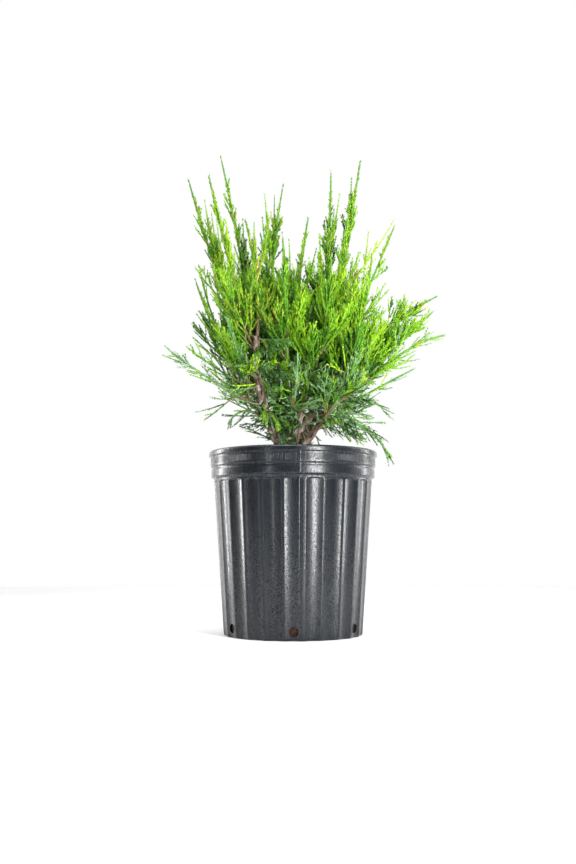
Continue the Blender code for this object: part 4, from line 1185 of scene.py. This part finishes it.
# %% Foliage: stems and twigs made
stems, twigs = [], []
for number, (name, carrier, share, knee, tip, reach, lift) in enumerate(MASSES):
    foot, _ = along(limb_paths[carrier][0], share)
    knots = foot[0], np.array(knee, dtype=float), np.array(tip, dtype=float)
    stem = bend(*knots, STEM_STATIONS)
    sparse = name in SPARSE_MASSES
    low = 2.0 if sparse else float(tip[2] < LOW_TIP)
    stems.append(stem_axis(knots, number, lift, low))
    between = SPARSE_TWIGS_PER_GROWTH if sparse else TWIGS_PER_GROWTH
    feet, headings, long, shares, leader = growths_of(stem, reach, lift, number + 1, between)
    if name in BARE_SPANS:
        first, last = BARE_SPANS[name]
        kept = (shares < first) | (shares > last) | (np.arange(len(shares)) % BARE_KEEPS == 1)
        feet, headings, long, leader = (values[kept] for values in (feet, headings, long, leader))
    if name in LEADING_MASSES:
        pairs = zip((feet, headings, long), leaders_of(name, stem))
        feet, headings, long = (np.concatenate([own[~leader], placed]) for own, placed in pairs)
        leader = np.arange(len(feet)) >= np.count_nonzero(~leader)
    spread = LOW_LIGHT_SPREAD if low else LIGHT_SPREAD
    curl = UP * (TWIG_CURL[lift] * long)[:, None]
    twigs.append(Axes(
        foot=feet, run=headings * long[:, None] - curl * leader[:, None], curl=curl, length=long,
        foot_radius=TWIG_RADIUS * np.clip(long / THICK_TWIG, THINNEST, 1), tip_radius=TWIG_TIP_RADIUS,
        light=light_at(feet + headings * long[:, None]) + foliage_random.normal(0, spread, len(feet)),
        mass=number, guide=np.where(leader, -1, number), lift=lift, low=low,
        clad=np.where(long > LONG_TWIG, LONG_CLAD, SHORT_CLAD), bare=np.where(leader, LEADER_BARE, TWIG_BARE),
    ))
print("stems:", len(stems), "twigs on them:", sum(map(len, twigs)))

# %% [markdown]
# The old boughs carry short shoots and bare spurs all round, and a few bright
# sprays hang before the wood on the side that is seen.  Growth at random would
# leave those sprays to luck, so they too have a row each in a table.

# %% Foliage: short growth on the boughs
SHOOT_STEP, SHOOT_LONG, SHOOT_TILT, SHOOT_RADII = 2.9, (18.0, 42.0), 60.0, (0.8, 0.5)
SPUR_STEP, SPUR_LONG, SPUR_TILT, SPUR_RADII = 4.5, (3.5, 13.0), 66.0, (1.0, 0.55)
BOUGH_BARE, BOUGH_END, TILT_SPREAD, SET_OUT, SHOOT_CURL, SHOOT_CLAD = 0.12, 0.99, 9.0, 0.7, 0.12, 0.2


def first_mass_on(bough):
    """The number of the first mass that a bough carries."""
    return next(number for number, row in enumerate(MASSES) if row[1] == bough)


def on_limbs(step, long, tilt, radii, lift, random):
    """Axes that leave each bough every few millimetres at a steep tilt, all round it."""
    parts = []
    for name, *_, foot_radius, tip_radius in BOUGHS:
        path, _ = limb_paths[name]
        count = int(path_lengths(path)[-1] / step)
        share = (np.arange(count) + random.uniform(0, 1, count)) / count
        share = np.clip(BOUGH_BARE + (1 - BOUGH_BARE) * share, 0, BOUGH_END)
        foot, heading = along(path, share)
        angle = np.radians(random.normal(tilt, TILT_SPREAD, count))
        out = turned_from(heading, angle, random.uniform(0, 2 * np.pi, count), lift)
        foot = foot + out * (mix(foot_radius, tip_radius, share) * SET_OUT)[:, None]
        length = random.uniform(*long, count)
        parts.append(Axes(
            foot=foot, run=out * length[:, None], curl=UP * (SHOOT_CURL * length)[:, None], length=length,
            foot_radius=radii[0], tip_radius=radii[1],
            light=light_at(foot + out * length[:, None]) + random.normal(0, LOW_LIGHT_SPREAD, count),
            mass=first_mass_on(name), guide=-1, clad=SHOOT_CLAD, lift=lift, low=1.0, bare=TWIG_BARE,
        ))
    return joined(parts)


# %% Foliage: sprays given one by one
FRONT_SPRAYS = (  # bough, share of it, tip, light: the bright sprays that hang before the wood
    ("bough_left", 0.47, (-14, -34, 202), 0.84),
    ("bough_left", 0.52, (-27, -38, 207), 0.76),
    ("bough_left", 0.40, (-7, -30, 207), 0.66),
    ("bough_left", 0.74, (-20, -58, 262), 0.72),
    ("bough_centre", 0.80, (-8, -46, 264), 0.82),
    ("bough_centre_right", 1.00, (15, -48, 332), 0.55),
)


def front_sprays():
    """One drooping axis for each row of the table, from its bough straight towards its tip."""
    parts = []
    for name, share, tip, light in FRONT_SPRAYS:
        foot, _ = along(limb_paths[name][0], share)
        reached = np.array(tip, dtype=float) - foot
        length = np.linalg.norm(reached, axis=1)
        sag = UP * (TWIG_CURL[DROOPING] * length)[:, None]
        parts.append(Axes(
            foot=foot, run=reached - sag, curl=sag, length=length,
            foot_radius=TWIG_RADIUS, tip_radius=TWIG_TIP_RADIUS, light=light,
            mass=first_mass_on(name), guide=-1, clad=SHORT_CLAD, lift=DROOPING, low=1.0, bare=TWIG_BARE,
        ))
    return joined(parts)


# %% Foliage: short growth made
limb_shoots = on_limbs(SHOOT_STEP, SHOOT_LONG, SHOOT_TILT, SHOOT_RADII, DROOPING, foliage_random)
spurs = on_limbs(SPUR_STEP, SPUR_LONG, SPUR_TILT, SPUR_RADII, LEVEL, foliage_random)
stems, twigs = joined(stems), joined(twigs + [limb_shoots])
twigs = twigs.pick(clear_of_pot(twigs) & clear_of_sky(twigs, foliage_random))
twigs = joined([twigs, front_sprays()])
spurs = spurs.pick(clear_of_pot(spurs))
print("twigs kept:", len(twigs), "spurs kept:", len(spurs))

# %% [markdown]
# What makes a plume of this plant is its outline: a bare cord at the tip, a
# narrow part clad close to the stem, then steadily wider growth.  It could be
# trimmed to a shape like a hedge, but a real spray ends in tips, not in cuts.
# So every stem and every leader guides the growth round it, and an axis that
# would reach past the outline is made shorter instead, tip and all.

# %% Foliage: the outline of a plume
WHIP_BASE, LEAST_NARROW, LEADER_NARROW, SPRAY_NARROW = 400.0, 20.0, 30.0, 14.0
WHIP_BASES = {
    "left_whip": 394.0, "left_middle": 392.0, "left_tall": 392.0, "valley": 380.0,
    "right_spire_inner": 412.0, "right_spire_outer": 402.0, "right_diagonal": 384.0,
}
NARROW_FOOT, NARROW_OPEN, NARROW_RUN = {UPRIGHT: 1.8, LEVEL: 3.0, DROOPING: 6.0}, 0.11, 56.0
PLUME_OPEN = {UPRIGHT: 0.85, LEVEL: 0.52, DROOPING: 0.85}
OUTLINES = {  # narrow part, half a width at the tip, opening: masses unlike the others of their lift
    "left_low": (30.0, 8.5, 0.90),
    "right_droop": (16.0, 13.0, 1.00),
    "far_right_upper": (12.0, 3.0, 0.70),
    "far_right_middle": (10.0, 4.0, 0.80),
    "far_right_lower": (12.0, 3.0, 0.80),
}


def by_lift(lifts, values):
    """The value that a table gives for each lift."""
    return np.select([lifts == key for key in values], list(values.values()))


# %% Foliage: a guide for every plume
is_leader = twigs.guide < 0
twigs.guide = np.where(is_leader, len(stems) + np.cumsum(is_leader) - 1, twigs.guide)
guides = joined([stems, twigs.pick(is_leader)])
guide_shares = np.linspace(0, 1, STEM_STATIONS)
guide_points = np.stack([guides.points(np.full(len(guides), share)) for share in guide_shares], axis=1)
guide_left = guides.length[:, None] * (1 - guide_shares)
bases = np.array([WHIP_BASES.get(row[0], WHIP_BASE) for row in MASSES])
narrow = np.full(len(guides), LEADER_NARROW)
narrow[:len(stems)] = np.maximum(guide_points[:len(stems), -1, 2] - bases, LEAST_NARROW)
narrow[guides.lift != UPRIGHT] = SPRAY_NARROW
narrow_foot, plume_open = by_lift(guides.lift, NARROW_FOOT), by_lift(guides.lift, PLUME_OPEN)
for number, (name, *_) in enumerate(MASSES):
    if name in OUTLINES:
        narrow[number], narrow_foot[number], plume_open[number] = OUTLINES[name]
print("leaders:", int(is_leader.sum()), "narrow part of each plume, mm:", np.round(narrow[:len(stems)]))

# %% Foliage: kept within a plume
STUB_SHARE, STUB_LENGTH, OUTLINE_SPREAD, LEAST_GAP = 0.30, 3.0, (0.8, 1.25), 0.01


def plume_width(guide, left):
    """Half a plume's width where this much of its guide is left: slight over the whip, then opening."""
    slight = narrow_foot[guide] + NARROW_OPEN * np.minimum(left, NARROW_RUN)
    return slight + plume_open[guide] * np.maximum(left - narrow[guide], 0)


def away_from_guide(axes, points):
    """Each point's distance from its guide, and the length of guide left beyond the nearest place."""
    gaps = np.linalg.norm(guide_points[axes.guide] - points[:, None], axis=-1)
    nearest = gaps.argmin(axis=1)
    return gaps.min(axis=1), guide_left[axes.guide, nearest]


def within_plume(axes, random):
    """Shortens every axis until its tip is inside its plume, and leaves out those that would be stubs."""
    here, _ = away_from_guide(axes, axes.foot)
    there, left = away_from_guide(axes, axes.tips())
    allowed = plume_width(axes.guide, left) * random.uniform(*OUTLINE_SPREAD, len(axes))
    share = np.clip((allowed - here) / np.maximum(there - here, LEAST_GAP), 0, 1)
    share = np.where(there <= allowed, 1.0, share)
    axes.length = axes.length * share
    axes.run, axes.curl = axes.run * share[:, None], axes.curl * share[:, None]
    return axes.pick((share > STUB_SHARE) & (axes.length > STUB_LENGTH))


keeps = twigs.guide >= len(stems)
twigs = joined([twigs.pick(keeps), within_plume(twigs.pick(~keeps), foliage_random)])
print("twigs within their plumes:", len(twigs))

# %% [markdown]
# Each further order of branching uses one function.  Side shoots stand at a
# regular spacing along their parent, alternately left and right with a slow
# twist, so that a spray is nearly flat but never quite.  They are long near the
# parent's foot and short near its tip, which gives the spray its pointed shape.

# %% Foliage: finer branching
TIP_LIGHT, TIP_BALANCE, SHOOT_LIGHT_SPREAD, WHIP_BALANCE = 0.34, 0.5, 0.06, 0.5
FIRST_SHOOT, SHOOT_BARE, SHOOT_PLACES, SHOOT_LENGTHS = 0.10, 0.10, (0.2, 0.8), (0.75, 1.25)
SHOOT_TURN, TURN_SPREAD, ANGLE_SPREAD, LOW_OPEN, LIFT_KEPT = 204, 0.30, 5.0, 42, 0.5
SHOOT_RISE = {UPRIGHT: 0.30, LEVEL: 0.08, DROOPING: -0.34}
SHOOT_FOLLOW, SHOOT_SAG, SHOOT_LIFT = 0.34, -0.10, 0.07
LOW_SPREAD = np.array((1.0, 1.45, 2.5))  # plain, low and sparse masses
LOW_STRETCH = np.array((1.0, 1.7, 2.3))
BRANCHING = {  # spacing, share of the parent, least length, shortest parent, opening at foot and tip, radii
    "branchlets": (4.8, 0.40, 8.0, 9.0, 48, 26, (0.60, 0.44)),
    "cords": (4.0, 0.34, 6.4, 9.0, 48, 32, (0.52, 0.38)),
    "cordlets": (3.8, 0.24, 4.0, 10.0, 46, 34, (0.46, 0.34)),
    "whip_cords": (2.3, 0.0, 8.5, 8.0, 27, 16, (0.55, 0.40)),
    "whip_cordlets": (3.0, 0.0, 4.2, 5.0, 34, 26, (0.46, 0.34)),
}


def numbered(counts):
    """For every child: the number of its parent, and its own number among the children from 0."""
    parent = np.repeat(np.arange(len(counts)), counts)
    return parent, np.arange(len(parent)) - np.repeat(np.cumsum(counts) - counts, counts)


def side_shoots(parents, spacing, ratio, least, shortest, open_angle, close_angle, radii, random):
    """The shoots on every parent at least as long as `shortest`: as many as its length has spacings,
    each leaned from the parent by an angle that closes towards the tip."""
    last = 1 - parents.bare
    spread = LOW_SPREAD[parents.low.astype(int)]
    counts = np.floor(parents.length * (last - FIRST_SHOOT) / (spacing * spread)).astype(int)
    counts[parents.length < shortest] = 0
    parent, number = numbered(counts)
    held, total = parents.pick(parent), len(parent)
    at = (number + random.uniform(*SHOOT_PLACES, total)) / counts[parent]
    share = FIRST_SHOOT + (last[parent] - FIRST_SHOOT) * at
    foot, heading = held.points(share), held.headings(share)
    start = random.uniform(0, 2 * np.pi, len(parents))[parent]
    around = start + number * np.radians(SHOOT_TURN) + random.normal(0, TURN_SPREAD, total)
    angle = np.radians(mix(open_angle, close_angle, share) + random.normal(0, ANGLE_SPREAD, total))
    angle = np.where(held.low > 1, np.maximum(angle, math.radians(LOW_OPEN)), angle)
    shoot = turned_from(heading, angle, around, held.lift * LIFT_KEPT)
    shoot = unit(shoot + UP * by_lift(held.lift, SHOOT_RISE)[:, None])
    stretch = LOW_STRETCH[held.low.astype(int)]
    length = (held.length * ratio * (1 - share) + least * stretch) * random.uniform(*SHOOT_LENGTHS, total)
    curl = (heading - shoot) * SHOOT_FOLLOW + UP * np.where(held.lift < 0, SHOOT_SAG, SHOOT_LIFT)[:, None]
    light = held.light + TIP_LIGHT * (share - TIP_BALANCE) + random.normal(0, SHOOT_LIGHT_SPREAD, total)
    return Axes(
        foot=foot, run=shoot * length[:, None], curl=curl * length[:, None], length=length,
        foot_radius=radii[0], tip_radius=radii[1], light=light, mass=held.mass,
        guide=held.guide, clad=0.0, lift=held.lift, low=held.low, bare=SHOOT_BARE,
    )


# %% Foliage: the finer orders made
def grown(kind, parents):
    """The side shoots of one kind that are clear of the pot and the sky, kept within their plume."""
    axes = side_shoots(parents, *BRANCHING[kind], foliage_random)
    return within_plume(axes.pick(clear_of_pot(axes) & clear_of_sky(axes, foliage_random)), foliage_random)


branchlets = grown("branchlets", twigs)
cords = grown("cords", branchlets)
cordlets = grown("cordlets", cords)
whip_cords = grown("whip_cords", joined([stems, twigs.pick(twigs.guide >= len(stems))]))
whip_cords = joined([whip_cords, grown("whip_cordlets", whip_cords)])
whip_cords.light = mix(whip_cords.light, light_at(whip_cords.tips()), WHIP_BALANCE)
orders = [stems, twigs, branchlets, cords, cordlets, whip_cords, spurs]
STEMS, TWIGS, WHIPS, SPURS = 0, 1, 5, 6
print("axes in each order:", [len(order) for order in orders])
print("metres in each order:", [round(float(order.length.sum()) * MM, 1) for order in orders])

# %% [markdown]
# Every axis becomes a tube that tapers to a point.  A skin modifier can thicken
# a few lines, but not tens of thousands of them.  Here the rings of all the axes
# are made in one array, with fewer rings and sides the finer the order is.

# %% Foliage: round wood for every axis
def tubes(axes, rings, sides):
    """Circles carried along each axis with a shrinking radius, closed to a point at the tip.
    Gives points, triangles and the axis and share of each triangle."""
    total, loops = len(axes), []
    for share in np.linspace(0, 1, rings + 1)[:-1]:
        at = np.full(total, share)
        side, other = side_frames(axes.headings(at))
        radius = mix(axes.foot_radius, axes.tip_radius, share)[:, None, None]
        loops.append(axes.points(at)[:, None] + swung(side[:, None], other[:, None], turns(sides)) * radius)
    points = np.concatenate(loops + [axes.tips()[:, None]], axis=1)
    ring, column = np.meshgrid(np.arange(rings - 1), np.arange(sides), indexing="ij")
    here, beside = ring * sides + column, ring * sides + (column + 1) % sides
    lower = np.stack([here, beside, here + sides], axis=-1).reshape(-1, 3)
    upper = np.stack([beside, beside + sides, here + sides], axis=-1).reshape(-1, 3)
    last, column = (rings - 1) * sides, np.arange(sides)
    end = np.stack([last + column, last + (column + 1) % sides, np.full(sides, rings * sides)], axis=-1)
    local = np.concatenate([lower, upper, end])
    rings_of = np.concatenate([ring.ravel(), ring.ravel(), np.full(sides, rings - 1)])
    faces = local[None] + (np.arange(total) * points.shape[1])[:, None, None]
    owner = np.repeat(np.arange(total), len(local))
    return points.reshape(-1, 3), faces.reshape(-1, 3), owner, np.tile(rings_of / rings, total)


# %% [markdown]
# A scale is a kite of two triangles folded on its keel: a root on the cord, two
# shoulders that hug it, and a tip that stands a little way out.  Pairs of scales
# cross at right angles up the cord.  At this size the eye reads them as the
# slightly rough, beaded outline that tells a juniper from a fern.

# %% Foliage: scales
SCALE_SPACING, SCALE_LENGTH, SCALE_WIDTH, SCALE_LEAN = 2.6, 2.9, 1.15, 11.0
SHOULDER, KEEL, FIRST_SCALE, ROOTED = 0.42, 0.22, 0.35, 0.7
SCALE_SIZES, SCALE_GROWTH, SCALE_LIMITS = (0.85, 1.15), 0.72, (0.9, 1.35)
SCALE_TURN_SPREAD, SCALE_LEAN_SPREAD = 0.12, 4.0


def scales(axes, spacing, random):
    """Crossed pairs of kites up every axis: root on the skin, shoulders square to the cord, tip leaned out.
    Gives points, triangles and the axis of each triangle."""
    counts = np.maximum(1, np.floor(axes.length * (1 - axes.clad) / spacing)).astype(int)
    axis, number = numbered(counts)
    held = axes.pick(axis)
    share = held.clad + (1 - held.clad) * (number + FIRST_SCALE) / counts[axis]
    at, heading = held.points(share), held.headings(share)
    side, other = side_frames(heading)
    skin = mix(held.foot_radius, held.tip_radius, share)
    size = random.uniform(*SCALE_SIZES, len(axis)) * np.clip(SCALE_GROWTH + skin, *SCALE_LIMITS)
    points = []
    for half in (0.0, np.pi):
        around = number * np.pi / 2 + half + random.normal(0, SCALE_TURN_SPREAD, len(axis))
        out = swung(side, other, around)
        lean = np.radians(SCALE_LEAN + random.normal(0, SCALE_LEAN_SPREAD, len(axis)))
        root = at + out * (skin * ROOTED)[:, None]
        tip = root + swung(heading, out, lean) * (SCALE_LENGTH * size)[:, None]
        waist = root + (tip - root) * SHOULDER - out * KEEL
        wide = np.cross(heading, out) * (SCALE_WIDTH / 2 * size)[:, None]
        points.append(np.stack([root, waist + wide, tip, waist - wide], axis=1))
    points = np.concatenate(points, axis=0)
    local = np.array(((0, 1, 2), (0, 2, 3)))
    faces = local[None] + 4 * np.arange(len(points))[:, None, None]
    return points.reshape(-1, 3), faces.reshape(-1, 3), np.repeat(np.tile(axis, 2), 2)


# %% [markdown]
# The green differs from spray to spray: lime at the lit tips, plain green within,
# deep green in the shade and bluish low down, with some olive ones in front and
# a few golden and withered ones.  Each spray takes one plain colour from this
# short list by how much light it gets, and only its gloss varies over the
# surface, as a waxy bloom does.

# %% Foliage: colours
TINTS = (  # name, colour, least light: by light first, then the four that are dealt out
    ("deep", (0.024, 0.088, 0.007), -9.0),
    ("leaf", (0.090, 0.270, 0.009), 0.36),
    ("bright", (0.215, 0.450, 0.012), 0.54),
    ("lime", (0.350, 0.575, 0.020), 0.80),
    ("bluish", (0.195, 0.355, 0.145), None),
    ("golden", (0.520, 0.470, 0.040), None),
    ("withered", (0.270, 0.130, 0.045), None),
    ("olive", (0.340, 0.400, 0.030), None),
)
BLUE, GOLD, DEAD, OLIVE = 4, 5, 6, 7
SCALE_GLOSS, BLOOM_GRAINS, BLOOM_ROUGHNESS, BLOOM_SPAN = (0.5, 0.35), (1.2, 6.0), (0.42, 0.72), (0.35, 0.65)
WOOD_FINISHES = (  # the same entries as for the mix
    ("young_bark", (0.22, 0.13, 0.07), 0.75, 0.3, (0.6, 2.5),
     ((0.110, 0.075, 0.040), (0.270, 0.200, 0.110)), 0.3),
    ("golden_wood", (0.50, 0.36, 0.08), 0.6, 0.3, (0.6, 2.5),
     ((0.360, 0.240, 0.060), (0.560, 0.430, 0.110)), 0.2),
)
WOOD_LONG = (1, 1, 0.3)


def scale_material(name, colour):
    """A plain green with a bloom of wax: patches a few millimetres wide are duller."""
    material, tree, shader = new_material(name, colour, *SCALE_GLOSS)
    bloom = add_grain(tree, object_place(tree), *BLOOM_GRAINS)
    dulled = value_between(tree, bloom.outputs["Height"], *BLOOM_ROUGHNESS, *BLOOM_SPAN)
    feed(tree, shader, "Roughness", dulled)
    return material


foliage_materials = [scale_material(f"scales_{name}", colour) for name, colour, _ in TINTS]
WOOD, YOUNG = len(TINTS), len(TINTS) + 1
foliage_materials += [grained(*row, stretch=WOOD_LONG) for row in WOOD_FINISHES]
print("tints:", [name for name, _, _ in TINTS])

# %% Foliage: tints dealt out
SHORT_ENOUGH, LONG_ENOUGH, HEART, HEART_REACH = 22.0, 60.0, (-36.0, -56.0, 312.0), 30.0
BLUE_DRAW, BLUE_LIGHT, GOLD_DRAW, GOLD_LIGHT = 0.52, 0.62, 0.992, 0.3
OLIVE_DRAW, OLIVE_SHARE, DEAD_DRAW = 0.72, 0.42, (0.970, 0.973)


def tints_of(axes, random):
    """The number of each axis's tint: by its light, but bluish for many low ones, olive for many in the
    heart of the front, and rarely golden or withered."""
    limits = np.array([least for _, _, least in TINTS if least is not None])
    tint = np.searchsorted(limits, axes.light, side="right") - 1
    draw = random.uniform(0, 1, len(axes))
    tint = np.where((axes.low > 0) & (draw < BLUE_DRAW) & (axes.light < BLUE_LIGHT), BLUE, tint)
    short = axes.length < SHORT_ENOUGH
    tint = np.where((draw > GOLD_DRAW) & (axes.light > GOLD_LIGHT) & short, GOLD, tint)
    heart = np.linalg.norm(axes.foot - np.array(HEART), axis=1) < HEART_REACH
    tint = np.where(heart & (draw > OLIVE_DRAW) & (axes.length < LONG_ENOUGH), OLIVE, tint)
    return np.where((draw > DEAD_DRAW[0]) & (draw <= DEAD_DRAW[1]) & short, DEAD, tint)


order_tints = [tints_of(order, foliage_random) for order in orders]
whip_draw = foliage_random.uniform(0, 1, len(whip_cords))
olive_whips = (whip_draw < OLIVE_SHARE) & (whip_cords.low == 0)
order_tints[WHIPS] = np.where(olive_whips, OLIVE, order_tints[WHIPS])
print("axes of each tint:", np.bincount(np.concatenate(order_tints), minlength=len(TINTS)))

# %% [markdown]
# The crown is put together in nine regions, wood and scales apart.  One mesh for
# the whole of it would be heavy to open and change, and one for each spray would
# give thousands of pieces.  The wood is brown at the foot of the stems and twigs
# and green beyond it, as on the young shoots of a real plant.

# %% Foliage: made, region by region
ORDER_TUBES = ((22, 6), (6, 4), (4, 3), (2, 3), (1, 3), (1, 3), (3, 4))  # rings and sides for each order
WOOD_SHARE, YOUNG_SHARE, TWIG_WOOD_SHARE, WOODY_LENGTH = 0.26, 0.34, 0.20, 42
GOLDEN_NAMES = ("front_left_spire", "centre_left_spire", "centre_low_left")
mass_numbers = {row[0]: number for number, row in enumerate(MASSES)}
golden_masses = [mass_numbers[name] for name in GOLDEN_NAMES]


def wood_colours(order, held, tint, owner, share):
    """The material of each triangle of wood: bark at the foot of stems and twigs, green skin beyond it."""
    if order == SPURS:
        return np.full(len(owner), WOOD)
    colour = tint[owner]
    golden = np.isin(held.mass[owner], golden_masses)
    if order == STEMS:
        colour = np.where((share < YOUNG_SHARE) & golden, YOUNG, colour)
        colour = np.where(share < WOOD_SHARE, WOOD, colour)
    if order == TWIGS:
        woody = (share < TWIG_WOOD_SHARE) & (held.length[owner] > WOODY_LENGTH)
        colour = np.where(woody, np.where(golden, YOUNG, WOOD), colour)
    return colour


def collect(kind, masses):
    """All triangles of one kind, wood or scales, for the masses of a region."""
    points, faces, kinds, start = [], [], [], 0
    for number, (order, tint) in enumerate(zip(orders, order_tints)):
        chosen = np.isin(order.mass, masses)
        if not chosen.any() or (kind == "scales" and number == SPURS):
            continue
        held, tint = order.pick(chosen), tint[chosen]
        if kind == "wood":
            at, corners, owner, share = tubes(held, *ORDER_TUBES[number])
            kinds.append(wood_colours(number, held, tint, owner, share))
        else:
            at, corners, owner = scales(held, SCALE_SPACING, foliage_random)
            kinds.append(tint[owner])
        points.append(at)
        faces.append(corners + start)
        start += len(at)
    return np.concatenate(points), np.concatenate(faces), np.concatenate(kinds)


triangles = 0
for region, members in REGIONS:
    nodes = [f"foliage_{member}" for member in members]
    for kind, slot in (("wood", "bark"), ("scales", "scale_leaf")):
        points, faces, kinds = collect(kind, [mass_numbers[member] for member in members])
        made = put(f"{kind}_{region}", points, faces, foliage_materials, kinds, smooth=(kind == "wood"))
        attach(made, "root")
        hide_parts(*nodes)
        triangles += len(faces)
        print(f"{made.name}: {len(faces)} triangles")
print("foliage triangles:", triangles)
